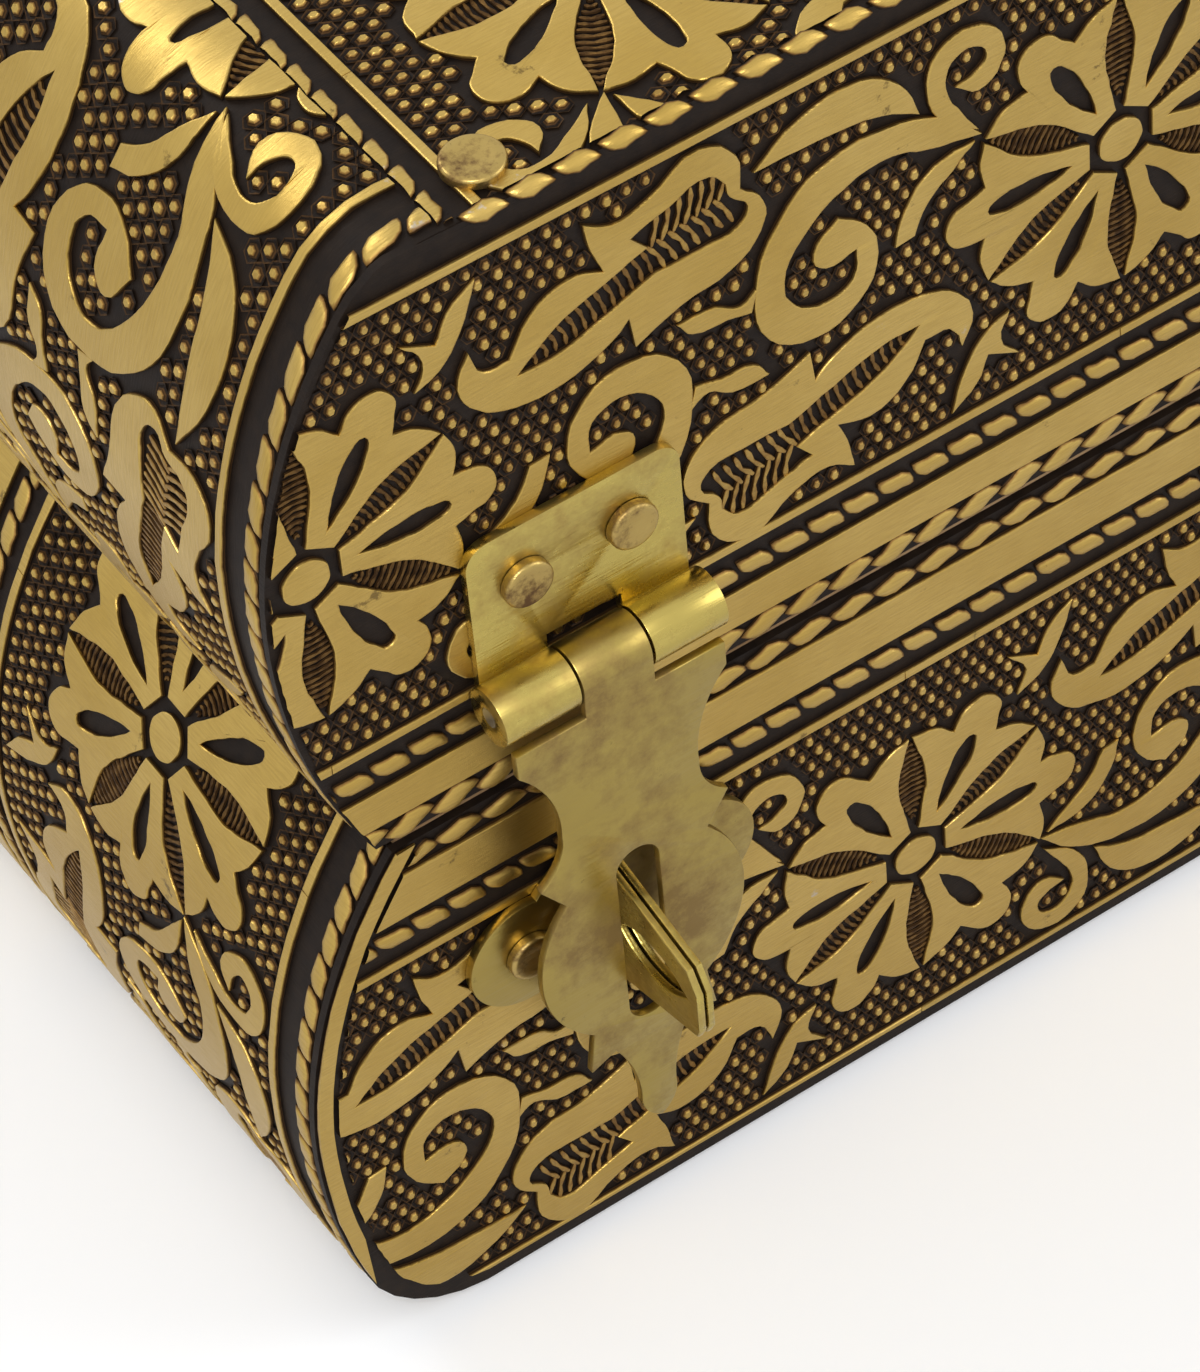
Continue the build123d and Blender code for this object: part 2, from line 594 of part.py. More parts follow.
# Two butt hinges on the back, with their axis level with the seam
for name, x in hinge_x.items():
    whole = (x - hinge_width / 2, x + hinge_width / 2)
    half_middle = hinge_middle_knuckle / 2
    middle = (x - half_middle, x + half_middle)
    around = (x - half_middle - knuckle_gap, x + half_middle + knuckle_gap)
    plate_y = (half_depth, half_depth + hinge_plate)
    swept = hinge_barrel_radius + 2 * knuckle_gap
    lid_leaf = box(whole, plate_y, (hinge_z + swept, hinge_z + hinge_leaf_height))
    lid_leaf += box(middle, plate_y, (hinge_z, hinge_z + swept))
    lid_leaf += rod_x(hinge_barrel_radius, middle, hinge_axis_y, hinge_z)
    lid_leaf -= rod_x(hinge_pin_radius + running_clearance, whole, hinge_axis_y, hinge_z)
    save(drilled(lid_leaf, lid_hinge_nails), f"hinge_lid_leaf_{name}")
    base_leaf = box(whole, plate_y, (hinge_z - hinge_leaf_height, hinge_z))
    base_leaf += rod_x(hinge_barrel_radius, whole, hinge_axis_y, hinge_z)
    cleared = (half_depth, half_depth + 4 * hinge_barrel_radius)
    base_leaf -= box(around, cleared, (hinge_z - swept, hinge_z + swept))
    base_leaf -= rod_x(hinge_pin_radius, whole, hinge_axis_y, hinge_z)
    save(drilled(base_leaf, base_hinge_nails), f"hinge_base_leaf_{name}")
hinge_pins = [rod_x(hinge_pin_radius, (x - hinge_width / 2, x + hinge_width / 2), hinge_axis_y, hinge_z)
              for x in hinge_x.values()]
save(group(hinge_pins), "hinge_pins")
save(group(lid_hinge_nails), "hinge_lid_nails")
save(group(base_hinge_nails), "hinge_base_nails")
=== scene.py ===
import json
import math
import random

import bmesh
import bpy
from mathutils import Matrix, Vector, noise
from mathutils.bvhtree import BVHTree


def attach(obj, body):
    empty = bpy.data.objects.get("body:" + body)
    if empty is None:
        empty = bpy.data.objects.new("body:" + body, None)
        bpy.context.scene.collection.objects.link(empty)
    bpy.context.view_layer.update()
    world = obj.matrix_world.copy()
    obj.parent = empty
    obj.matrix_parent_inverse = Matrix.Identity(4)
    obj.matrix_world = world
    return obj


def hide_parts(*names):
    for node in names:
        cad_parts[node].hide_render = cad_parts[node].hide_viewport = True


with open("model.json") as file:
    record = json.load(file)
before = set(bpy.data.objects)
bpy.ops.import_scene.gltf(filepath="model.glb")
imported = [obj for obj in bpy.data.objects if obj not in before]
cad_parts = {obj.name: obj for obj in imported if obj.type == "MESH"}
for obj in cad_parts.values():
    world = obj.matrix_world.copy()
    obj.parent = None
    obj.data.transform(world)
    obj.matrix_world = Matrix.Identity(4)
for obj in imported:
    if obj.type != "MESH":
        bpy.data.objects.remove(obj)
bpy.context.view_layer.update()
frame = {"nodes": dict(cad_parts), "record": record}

nodes = frame["nodes"]
scene = bpy.context.scene


def newObject(name, mesh):
    thing = bpy.data.objects.new(name, mesh)
    scene.collection.objects.link(thing)
    return thing


def toMesh(bm, name):
    mesh = bpy.data.meshes.new(name)
    bm.to_mesh(mesh)
    bm.free()
    return mesh


def rideOn(thing, body, slotName, *replaced):
    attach(thing, body)
    if replaced:
        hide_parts(*replaced)
    return thing


# Shades a mesh smooth, but keeps its corners crisp
def smoothFlat(mesh, angle=0.7):
    mesh.shade_smooth()
    bm = bmesh.new()
    bm.from_mesh(mesh)
    for e in bm.edges:
        e.smooth = len(e.link_faces) == 2 and e.calc_face_angle(0) < angle
    bm.to_mesh(mesh)
    bm.free()


# Makes a piece of a bmesh, with its finish, on its body
def finished(bm, name, angle, finish, body, slotName, *replaced):
    mesh = toMesh(bm, name)
    smoothFlat(mesh, angle)
    mesh.materials.append(materials[finish])
    return rideOn(newObject(name, mesh), body, slotName, *replaced)


# Moves the shape of one bmesh into another
def joinTo(bm, part):
    mesh = toMesh(part, "part")
    bm.from_mesh(mesh)
    bpy.data.meshes.remove(mesh)


# A flat filled shape from closed outlines; a third value of 1 marks a sharp point
def curveShape(name, loops, half, rim, steps=4):
    curve = bpy.data.curves.new(name, "CURVE")
    curve.dimensions = "2D"
    curve.fill_mode = "BOTH"
    curve.resolution_u = steps
    curve.extrude = max(half - rim, 0)
    curve.bevel_depth = rim
    curve.bevel_resolution = 1
    curve.offset = -rim
    for loop in loops:
        line = curve.splines.new("BEZIER")
        line.bezier_points.add(len(loop) - 1)
        line.use_cyclic_u = True
        for spot, place in zip(line.bezier_points, loop):
            spot.co = (place[0], place[1], 0)
            kind = "VECTOR" if len(place) > 2 else "AUTO"
            spot.handle_left_type = spot.handle_right_type = kind
    holder = newObject(name, curve)
    bpy.context.view_layer.update()
    mesh = bpy.data.meshes.new_from_object(holder.evaluated_get(bpy.context.evaluated_depsgraph_get()))
    bpy.data.objects.remove(holder)
    bpy.data.curves.remove(curve)
    return mesh


def turned(points, centre):
    return [(2 * centre[0] - p[0], 2 * centre[1] - p[1], *p[2:]) for p in points]


pattern = {
    "period": 70.0,  # length of one repeat of the rolled sheet
    "relief": 0.5,
    "rim": 0.13,  # chamfer round each motif
    "skirt": 0.1,  # how far a motif reaches below the ground
    "beadPitch": 1.62,
    "beadRow": 1.40,
    "beadRings": ((0.88, 0.15), (0.66, 0.02), (0.44, 0.26), (0.29, 0.42)),  # radius and height
    "beadClear": 0.52,  # least room between a bead and a motif
    "beadDome": 0.7,  # what lies nearer to a bead's middle is stretched
    "flowerCentre": (0.2, -0.9),
    "flowerClear": 12.5,
    "petals": 6,
    "button": 1.95,
    "ridge": 20.4,
    "ridgeWidth": 0.85,
    "rope": 23.3,
    "ropePitch": 3.2,
    "strand": (3.9, 2.0, 0.53),  # length, width and height of one strand end
    "plainFrom": 25.1,
    "turnCentre": (-34.8, -0.4),  # the motifs repeat turned round this point
    "wobble": 0.12,  # how far edges stray
    "wobbleScale": 0.9,
    "dent": 0.05,
    "dentScale": 0.35,
    "dentFrom": 0.4,
}
# A third value of 1 marks a sharp point
motifs = {
    "scrollOut": [
        (-12.0, 6.9, 1), (-14.8, 10.0), (-19.0, 12.0), (-25.8, 11.8), (-29.6, 8.8), (-31.9, 3.2), (-31.0, -1.8),
        (-27.0, -4.1), (-23.2, -2.8), (-21.3, 1.0), (-22.2, 4.2), (-24.5, 6.2, 1), (-26.9, 4.0), (-25.9, 2.1),
        (-23.2, 2.4, 1), (-23.6, -0.3), (-25.9, -1.2), (-28.6, 0.2), (-29.4, 3.0), (-27.6, 6.2), (-23.9, 8.7),
        (-19.8, 9.3), (-17.0, 8.2)],
    "tulip": [
        (-55.2, 12.1, 1), (-54.1, 9.6), (-52.0, 9.4, 1), (-50.1, 12.4), (-46.8, 13.9), (-44.0, 13.0, 1),
        (-44.8, 15.2), (-45.3, 18.1, 1), (-43.0, 16.8), (-40.0, 17.3), (-35.6, 19.4), (-32.6, 17.0),
        (-32.5, 13.8, 1), (-30.6, 11.6), (-31.0, 9.0), (-33.5, 6.8), (-38.0, 6.0), (-42.0, 4.4, 1),
        (-42.3, 7.3, 1), (-44.0, 6.0), (-48.0, 4.6), (-52.0, 4.8), (-55.0, 6.4), (-56.3, 9.3)],
    "tulipCut": [
        (-51.5, 7.6, 1), (-50.0, 8.9), (-47.3, 10.6), (-43.4, 11.9), (-40.3, 13.0, 1), (-41.6, 14.6, 1),
        (-38.3, 15.6), (-35.0, 16.4), (-33.7, 15.0, 1), (-33.4, 13.5), (-32.0, 12.0), (-32.9, 10.5),
        (-35.8, 10.2), (-39.8, 10.3, 1), (-43.8, 8.9), (-48.2, 7.6)],
    "crescent": [
        (-31.4, 14.6, 1), (-27.3, 17.3), (-22.2, 17.8), (-18.9, 15.6), (-17.2, 11.8, 1), (-20.6, 13.6), (-26.2, 14.4)],
    "innerLeaf": [
        (-12.6, 6.6, 1), (-16.2, 6.2), (-19.0, 3.4), (-19.9, 0.4, 1), (-18.2, 0.6, 1), (-16.8, 3.2), (-14.6, 5.0)],
    "fish": [
        (-38.5, 4.3, 1), (-35.2, 4.1), (-33.2, 2.9), (-31.6, 3.8, 1), (-32.2, 1.6, 1), (-34.4, 2.2), (-37.2, 2.6)],
    "sprig": [
        (-54.0, 18.4, 1), (-55.6, 14.2), (-57.4, 11.9), (-59.6, 11.0, 1), (-58.7, 13.4), (-60.4, 15.9, 1),
        (-57.5, 14.3, 1), (-56.4, 16.6)],
    "curl": [
        (-12.2, 7.4, 1), (-15.2, 9.6), (-16.6, 13.4), (-15.6, 16.6), (-12.6, 17.4), (-10.1, 15.4), (-10.2, 12.6),
        (-12.2, 11.2), (-14.2, 12.6, 1), (-12.3, 13.1), (-11.5, 14.2), (-12.6, 15.5), (-14.4, 15.0), (-15.0, 13.0),
        (-13.6, 9.8)],
    # One petal with its slot, pointing along X from the flower's centre
    "petal": [
        (2.85, 1.25, 1), (5.4, 2.1), (7.7, 2.95), (9.3, 4.0), (10.8, 5.5), (12.1, 6.8, 1), (12.8, 4.5), (12.3, 2.4, 1),
        (13.9, 2.3), (15.4, 1.3), (15.7, -0.2), (14.9, -1.5), (13.6, -1.9), (12.1, -2.4, 1), (12.5, -4.4),
        (12.1, -6.8, 1), (10.8, -5.5), (9.3, -4.0), (7.7, -2.95), (5.4, -2.1), (2.85, -1.25, 1)],
    "slot": [
        (4.4, 0.0, 1), (5.9, 0.5), (8.2, 0.86), (10.5, 0.8), (11.9, 0.0), (10.5, -0.8), (8.2, -0.86), (5.9, -0.5)],
    "rib": [(-0.17, -1.0), (0.13, -1.0), (0.30, 0.0), (0.13, 1.0), (-0.17, 1.0), (0.0, 0.0)],
}


def ring(radius, centre, count):
    return [(centre[0] + radius * math.cos(2 * math.pi * k / count),
             centre[1] + radius * math.sin(2 * math.pi * k / count)) for k in range(count)]


# Adds a copy of a mesh to a bmesh and returns its new vertices
def placed(bm, mesh, move=(0, 0, 0), turn=0.0, size=(1, 1, 1)):
    before = len(bm.verts)
    bm.from_mesh(mesh)
    bm.verts.ensure_lookup_table()
    fresh = bm.verts[before:]
    shift = Matrix.Translation(move) @ Matrix.Rotation(turn, 4, "Z") @ Matrix.Diagonal((*size, 1))
    bmesh.ops.transform(bm, matrix=shift, verts=fresh)
    return fresh


# One bead in its six-sided cell: a low rim, a dark moat and a domed middle, standing on Z = 0
def beadMesh():
    rings = pattern["beadRings"]
    bm = bmesh.new()
    bmesh.ops.create_circle(bm, radius=rings[0][0], segments=6, cap_ends=True)
    bmesh.ops.rotate(bm, verts=bm.verts[:], matrix=Matrix.Rotation(math.radians(30), 3, "Z"))
    top = bm.faces[:]
    bmesh.ops.translate(bm, verts=bm.verts[:], vec=(0, 0, rings[0][1]))
    lean = math.cos(math.radians(30))
    for wide, narrow in zip(rings, rings[1:]):
        bmesh.ops.inset_region(bm, faces=top, thickness=(wide[0] - narrow[0]) * lean, depth=0,
                               use_boundary=True, use_even_offset=True)
        bmesh.ops.translate(bm, verts=[v for f in top for v in f.verts], vec=(0, 0, narrow[1] - wide[1]))
    bmesh.ops.recalc_face_normals(bm, faces=bm.faces[:])
    if top[0].normal.z < 0:
        bmesh.ops.reverse_faces(bm, faces=bm.faces[:])
    return toMesh(bm, "bead")


# One plump strand end of the rope border, pointed and slightly curled
def strandMesh():
    length, width, height = pattern["strand"]
    bm = bmesh.new()
    bmesh.ops.create_uvsphere(bm, u_segments=12, v_segments=7, radius=0.5)
    bmesh.ops.scale(bm, vec=(length, width, height * 2), verts=bm.verts[:])
    for v in bm.verts:
        v.co.z = math.copysign(height * math.sqrt(abs(v.co.z) / height), v.co.z)
        taper = 1 - 0.45 * abs(2 * v.co.x / length)
        v.co.y = v.co.y * taper + 0.22 * math.sin(2 * math.pi * v.co.x / length)
    return toMesh(bm, "strand")


# A row of slanting strand ends along X
def ropeRow(bm, start, stop, level, lean=-0.5, size=1.0, pitch=None):
    mesh = strandMesh()
    count = round((stop - start) / (pitch or pattern["ropePitch"]))
    for k in range(count):
        along = start + (k + 0.5) * (stop - start) / count
        placed(bm, mesh, (along, level, -pattern["relief"]), lean, (size, size, 1))
    bpy.data.meshes.remove(mesh)


# Ribs across the lens of each tulip, chevrons in its block, and ribs in the slots between the petals
def ribRows(relief, half):
    rib = curveShape("rib", [motifs["rib"]], pattern["relief"] / 2, 0.09, 2)
    centre, turn = pattern["flowerCentre"], pattern["turnCentre"]
    for flip in (False, True):
        for k in range(13):
            along = k / 12
            x, y, tilt = -50.0 + 9.6 * along, 8.25 + 3.2 * along, math.radians(16)
            reach = 0.3 + 1.15 * math.sin(math.pi * (0.10 + 0.60 * along))
            if flip:
                x, y, tilt = 2 * turn[0] - x, 2 * turn[1] - y, tilt + math.pi
            placed(relief, rib, (x, y, -half - 0.10), tilt, (0.85, reach, 1))
        for k in range(7):
            for side in (-1, 1):
                x, y = -39.6 + 0.95 * k, 12.85 + 0.16 * k + side * 1.3
                lean = -side * 0.36 + math.radians(8) + math.pi * flip
                if flip:
                    x, y = 2 * turn[0] - x, 2 * turn[1] - y
                placed(relief, rib, (x, y, -half - 0.04), lean, (0.95, 1.5, 1))
    for k in range(pattern["petals"]):
        angle = math.radians(30 + 60 * k)
        for step in range(15):
            far = 4.4 + step * 0.60
            reach = 0.25 + 1.05 * math.sin(math.pi * step / 14.5)
            place = (centre[0] + far * math.cos(angle), centre[1] + far * math.sin(angle), -half - 0.13)
            placed(relief, rib, place, angle, (0.8, reach, 1))


# Beads on the ground, left out where a motif stands
def beadField(mask):
    long, deep = pattern["period"], pattern["relief"]
    bead = beadMesh()
    each = len(bead.vertices)
    holder = newObject("beadGrid", bead)
    across = round(long / pattern["beadPitch"])
    pitch, rowPitch = long / across, pattern["beadRow"]
    rows = int(2 * (pattern["ridge"] - pattern["ridgeWidth"] / 2 - 0.4) / rowPitch) + 1
    for count, step in ((across, (pitch, 0, 0)), (rows, (0, rowPitch, 0))):
        copies = holder.modifiers.new("rows", "ARRAY")
        copies.use_relative_offset = False
        copies.use_constant_offset = True
        copies.constant_offset_displace = step
        copies.count = count
    bpy.context.view_layer.update()
    grid = bpy.data.meshes.new_from_object(holder.evaluated_get(bpy.context.evaluated_depsgraph_get()))
    bpy.data.objects.remove(holder)
    beads = bmesh.new()
    beads.from_mesh(grid)
    beads.verts.ensure_lookup_table()
    tree = BVHTree.FromBMesh(mask)
    flowers = [Vector(pattern["flowerCentre"]) - Vector((shift, 0)) for shift in (0, long)]
    start = -(rows - 1) / 2 * rowPitch
    luck = random.Random(4)
    dropped = []
    for k in range(across * rows):
        verts = beads.verts[k * each:(k + 1) * each]
        row, column = k // across, k % across
        x = -long + (column + 0.5 * (row % 2)) * pitch + luck.uniform(-0.05, 0.05)
        y = start + row * rowPitch + luck.uniform(-0.04, 0.04)
        size = luck.uniform(0.9, 1.08)
        nearFlower = any((Vector((x, y)) - flower).length < pattern["flowerClear"] for flower in flowers)
        if nearFlower or tree.find_nearest(Vector((x, y, 0)), pattern["beadClear"])[0] is not None:
            dropped += verts
            continue
        move = Vector((x - column * pitch, y - row * rowPitch, -deep))
        centre = Vector((x, y, -deep))
        for v in verts:
            v.co += move
            off = v.co - centre
            if off.xy.length < pattern["beadDome"]:
                v.co = centre + Vector((off.x * size * 0.9, off.y * size * 1.18, off.z * size))
    bmesh.ops.delete(beads, geom=dropped, context="VERTS")
    print("beads", len(beads.verts) // each, "of", across * rows)
    return toMesh(beads, "tileBeads")


# One period of the embossed band, flat, in millimetres: u along X, v along Y, ground at Z = -relief
def patternTile():
    long = pattern["period"]
    half = pattern["relief"] / 2 + pattern["skirt"]
    centre, turn = pattern["flowerCentre"], pattern["turnCentre"]
    groups = [[ring(pattern["button"], centre, 12)]]
    for names in (["scrollOut"], ["tulip", "tulipCut"], ["crescent"], ["innerLeaf"], ["fish"], ["sprig"]):
        loops = [motifs[name] for name in names]
        groups += [loops, [turned(loop, turn) for loop in loops]]
    groups += [[motifs["curl"]], [turned(motifs["curl"], centre)]]
    relief, mask = bmesh.new(), bmesh.new()

    def stamp(loops, place, angle):
        shape = curveShape("motif", loops, half, pattern["rim"])
        placed(relief, shape, (*place, -half), angle)
        flat = curveShape("motifMask", loops[:1], 0.01, 0.0)
        for shift in (-long, 0, long):
            placed(mask, flat, (place[0] + shift, place[1], 0), angle)
        bpy.data.meshes.remove(shape)
        bpy.data.meshes.remove(flat)

    for loops in groups:
        stamp(loops, (0, 0), 0)
    for k in range(pattern["petals"]):
        stamp([motifs["petal"], motifs["slot"]], centre, math.radians(60 * k))
    ribRows(relief, half)
    wide = pattern["ridgeWidth"] / 2
    for side in (-1, 1):
        level = side * pattern["ridge"]
        corners = [(0, level - wide, 1), (long, level - wide, 1), (long, level + wide, 1), (0, level + wide, 1)]
        placed(relief, curveShape("ridge", [corners], half, pattern["rim"]), (-long, 0, -half - 0.02))
        ropeRow(relief, -long, 0, side * pattern["rope"])
    beads = beadField(mask)
    mask.free()
    print("tile", len(relief.faces), "relief faces")
    return toMesh(relief, "tileRelief"), beads


case = {
    "front": 59.0,  # half the depth
    "base": {"up": -1, "belly": 100.0, "bellyZ": 27.0, "seamZ": 55.4, "seamInset": 9.8, "shutZ": 0.8,
             "cornerInset": 14.2, "cornerRadius": 12.0, "edge": 83.0, "bandZ": 23.2, "flowerX": -44.8,
             "stripGap": 2.5, "ropeGap": 1.2, "ropeSize": 1.1, "sideInset": 2.0, "endShift": 8.2, "endSplit": math.inf},
    "lid": {"up": 1, "belly": 97.3, "bellyZ": 82.0, "seamZ": 56.6, "seamInset": 5.9, "shutZ": 112.0,
            "cornerInset": 15.8, "cornerRadius": 8.5, "edge": 79.8, "bandZ": 88.0, "flowerX": -24.0,
            "stripGap": 2.6, "ropeGap": 1.25, "ropeSize": 1.15, "sideInset": 0.35, "endShift": 68.0, "endSplit": -31},
    "endStretch": 1.2,  # past endSplit the pattern is drawn out, as it is over the belly
    "ropeLean": 0.12,
    "ropePitch": 3.9,
    "bandOffset": 32.2,
    "sheetThickness": 1.2,
    "cornerShift": 1.1,  # moves the rope on a band's outer side nearer to the corner
    "cornerShiftFrom": 22,
    "beadInset": 0.3,
    "groundInset": 0.12,
    "foldWidth": 1.5,
    "foldInset": 0.25,
    "foldSink": 0.24,
    "stripRim": 0.12,
    "bendStep": 2.2,
    "endInset": 0.7,
    "topBands": (-56.2, 7.4, 71.0),
    "topBandWidth": 63.6,
    "topFlowerY": -42.0,
    "topInset": 0.62,
}
foldRopeShape = {"pitch": 3.7, "lean": 0.22, "narrow": 0.8, "sink": 0.62, "inset": 1.5}


# Arc sizes of a swelling end, as in the case's own profile
def flankOf(part, inset=0.0):
    d = case[part]
    up, belly, cornerR = d["up"], d["belly"] - inset, d["cornerRadius"]
    rise = abs(d["seamZ"] - d["bellyZ"])
    seamR = (d["seamInset"] ** 2 + rise ** 2) / (2 * d["seamInset"]) - inset
    drop = abs(d["shutZ"] - d["bellyZ"]) - cornerR
    shutR = (d["cornerInset"] ** 2 + drop ** 2 - cornerR ** 2) / (2 * (d["cornerInset"] - cornerR)) - inset
    cornerR -= inset
    reach = math.sqrt((shutR - cornerR) ** 2 - drop ** 2)
    a1, a2 = math.asin(rise / seamR), math.atan2(drop, reach)
    s1 = seamR * a1
    s2 = s1 + shutR * a2
    return {"up": up, "belly": belly, "bellyZ": d["bellyZ"], "seamR": seamR, "shutR": shutR, "cornerR": cornerR,
            "cornerX": belly - shutR + reach, "cornerZ": d["bellyZ"] + up * drop, "shut": d["shutZ"] - up * inset,
            "a1": a1, "a2": a2, "s1": s1, "s2": s2, "s3": s2 + cornerR * (math.pi / 2 - a2)}


# Place and outward direction on the left end, by length along the profile from the seam
def flankPoint(f, s):
    up = f["up"]
    if s >= f["s3"]:
        return -(f["cornerX"] - (s - f["s3"])), f["shut"], 0.0, float(up)
    if s < f["s1"]:
        radius, middle, height = f["seamR"], f["belly"] - f["seamR"], f["bellyZ"]
        t, up = f["a1"] - s / radius, -up
    elif s < f["s2"]:
        radius, middle, height = f["shutR"], f["belly"] - f["shutR"], f["bellyZ"]
        t = (s - f["s1"]) / radius
    else:
        radius, middle, height = f["cornerR"], f["cornerX"], f["cornerZ"]
        t = f["a2"] + (s - f["s2"]) / radius
    return -(middle + radius * math.cos(t)), height + up * radius * math.sin(t), -math.cos(t), up * math.sin(t)


def cutTo(bm, point, normal, near=1e-5, clear=True):
    bmesh.ops.bisect_plane(bm, geom=bm.verts[:] + bm.edges[:] + bm.faces[:], dist=near, plane_co=point,
                           plane_no=normal, clear_outer=clear)


# Keeps what lies between two values on one axis
def trim(bm, axis, low, high):
    for at, sign in ((low, -1), (high, 1)):
        point, normal = [0, 0, 0], [0, 0, 0]
        point[axis], normal[axis] = at, sign
        cutTo(bm, point, normal)


# Adds cross cuts so that a flat shape can bend
def cutBands(bm, axis, start, stop, step):
    at = start
    while at < stop:
        point, normal = [0, 0, 0], [0, 0, 0]
        point[axis], normal[axis] = at, 1
        cutTo(bm, point, normal, 1e-4, False)
        at += step


# A matrix that takes the tile's u and v to the flat sheet
def onSheet(acrossRow, alongRow):
    return Matrix((acrossRow, alongRow, (0, 0, 1, 0), (0, 0, 0, 1)))


# Copies the tile along a band of the flat sheet
def layBand(bm, tile, matrix, first, last, stretch=None, outer=0):
    reverse = matrix.to_3x3().determinant() < 0
    for k in range(first, last + 1):
        fresh = placed(bm, tile, (k * pattern["period"], 0, 0))
        if stretch:
            for v in fresh:
                v.co.x = stretch(v.co.x)
                if v.co.y * outer > case["cornerShiftFrom"]:
                    v.co.y += outer * case["cornerShift"]
        bmesh.ops.transform(bm, matrix=matrix, verts=fresh)
        if reverse:
            bmesh.ops.reverse_faces(bm, faces=list({f for v in fresh for f in v.link_faces}))


# A raised flat strip between two corners of the flat sheet
def strip(bm, low, high):
    half = pattern["relief"] / 2 + pattern["skirt"]
    corners = [(low[0], low[1], 1), (high[0], low[1], 1), (high[0], high[1], 1), (low[0], high[1], 1)]
    mesh = curveShape("strip", [corners], half, case["stripRim"])
    placed(bm, mesh, (0, 0, -half))
    bpy.data.meshes.remove(mesh)


# Thickens a flat shape at Z = 0 into the ground of a sheet
def thicken(bm):
    bmesh.ops.translate(bm, verts=bm.verts[:], vec=(0, 0, -pattern["relief"]))
    new = bmesh.ops.extrude_face_region(bm, geom=bm.faces[:])
    lower = [g for g in new["geom"] if isinstance(g, bmesh.types.BMVert)]
    bmesh.ops.translate(bm, verts=lower, vec=(0, 0, -(case["sheetThickness"] - pattern["relief"])))
    bmesh.ops.recalc_face_normals(bm, faces=bm.faces[:])


# Half of the front's outline as points, from the seam to the flat
def frontOutline(part, inset):
    f = flankOf(part, inset)
    return [flankPoint(f, f["s3"] * k / 26) for k in range(27)]


def cutFront(bm, part, inset):
    d = case[part]
    for x, z, nx, nz in frontOutline(part, inset):
        cutTo(bm, (x, z, 0), (nx, nz, 0))
        cutTo(bm, (-x, z, 0), (-nx, nz, 0))
    cutTo(bm, (0, d["seamZ"], 0), (0, -d["up"], 0))
    cutTo(bm, (0, d["shutZ"] - d["up"] * inset, 0), (0, d["up"], 0))


# Keeps the flat place for the material
def storeFlat(bm):
    flat = bm.loops.layers.uv.get("flat") or bm.loops.layers.uv.new("flat")
    for f in bm.faces:
        for l in f.loops:
            l[flat].uv = (l.vert.co.x / 100, l.vert.co.y / 100)


# Stores height and flat place for the material, roughens edges, bends, and turns to metres
def finishSheet(bm, bend, jitter=0.0):
    level = bm.verts.layers.float.get("height") or bm.verts.layers.float.new("height")
    for v in bm.verts:
        v[level] = 1 + v.co.z / pattern["relief"]
        if jitter:
            n = noise.noise_vector(v.co * pattern["wobbleScale"])
            v.co.x += n.x * jitter
            v.co.y += n.y * jitter
            v.co.z += noise.noise(v.co * pattern["dentScale"]) * pattern["dent"] * (v[level] > pattern["dentFrom"])
            v.co.z = min(v.co.z, 0)
    storeFlat(bm)
    for v in bm.verts:
        v.co = Vector(bend(v.co)) * 0.001


# The same sheet on two opposite sides of the case, half a turn apart
def sheetPair(bm, part, sides, name):
    replaced = [[f"{part}_{side}_sheet"] if name == "ground" else [] for side in sides]
    first = finished(bm, f"{part}_{sides[0]}_{name}", 0.7, "embossed", part, "embossed_sheet", *replaced[0])
    mesh = first.data.copy()
    mesh.transform(Matrix.Rotation(math.pi, 4, "Z"))
    rideOn(newObject(f"{part}_{sides[1]}_{name}", mesh), part, "embossed_sheet", *replaced[1])


# Relief, beads and ground of the front, and the same turned round for the back
def frontSheets(part):
    d = case[part]
    up, half = d["up"], pattern["relief"] / 2 + pattern["skirt"]
    made = {}
    for name, tile in (("relief", tileRelief), ("beads", tileBeads)):
        bm = bmesh.new()
        layBand(bm, tile, onSheet((1, 0, 0, d["flowerX"]), (0, 1, 0, d["bandZ"])), -1, 3)
        if name == "relief":
            low, high = sorted((d["seamZ"] + up * d["stripGap"], d["bandZ"] - up * pattern["plainFrom"]))
            strip(bm, (-110, low), (110, high))
            ropeRow(bm, -110, 110, d["seamZ"] + up * d["ropeGap"], up * case["ropeLean"], d["ropeSize"],
                    case["ropePitch"])
        cutFront(bm, part, d["sideInset"] + (0.0 if name == "relief" else case["beadInset"]))
        if name == "relief" and part == "base":
            for side in (-1, 1):
                rail = [(side * -x, z, 1) for x, z, _, _ in frontOutline(part, case["foldInset"])[:21]]
                rail += [(side * -x, z, 1) for x, z, _, _ in reversed(frontOutline(part, case["foldWidth"])[:19])]
                placed(bm, curveShape("fold", [rail], half, case["stripRim"]),
                       (0, 0, -pattern["relief"] / 2 - case["foldSink"]))
        if name == "relief" and part == "lid":
            cutTo(bm, (0, d["bandZ"] + pattern["ridge"] + 0.9, 0), (0, 1, 0))
        made[name] = bm
    made["ground"] = bm = bmesh.new()
    bmesh.ops.create_grid(bm, x_segments=1, y_segments=1, size=150)
    cutFront(bm, part, case["groundInset"])
    if part == "lid":
        cutTo(bm, (0, d["shutZ"] - pattern["relief"] - 0.05, 0), (0, 1, 0))
    thicken(bm)
    for name, bm in made.items():
        finishSheet(bm, lambda p: (p.x, -case["front"] - p.z, p.y), pattern["wobble"] if name == "relief" else 0.0)
        sheetPair(bm, part, ("front", "back"), name)
    print(part, "front and back sheets")


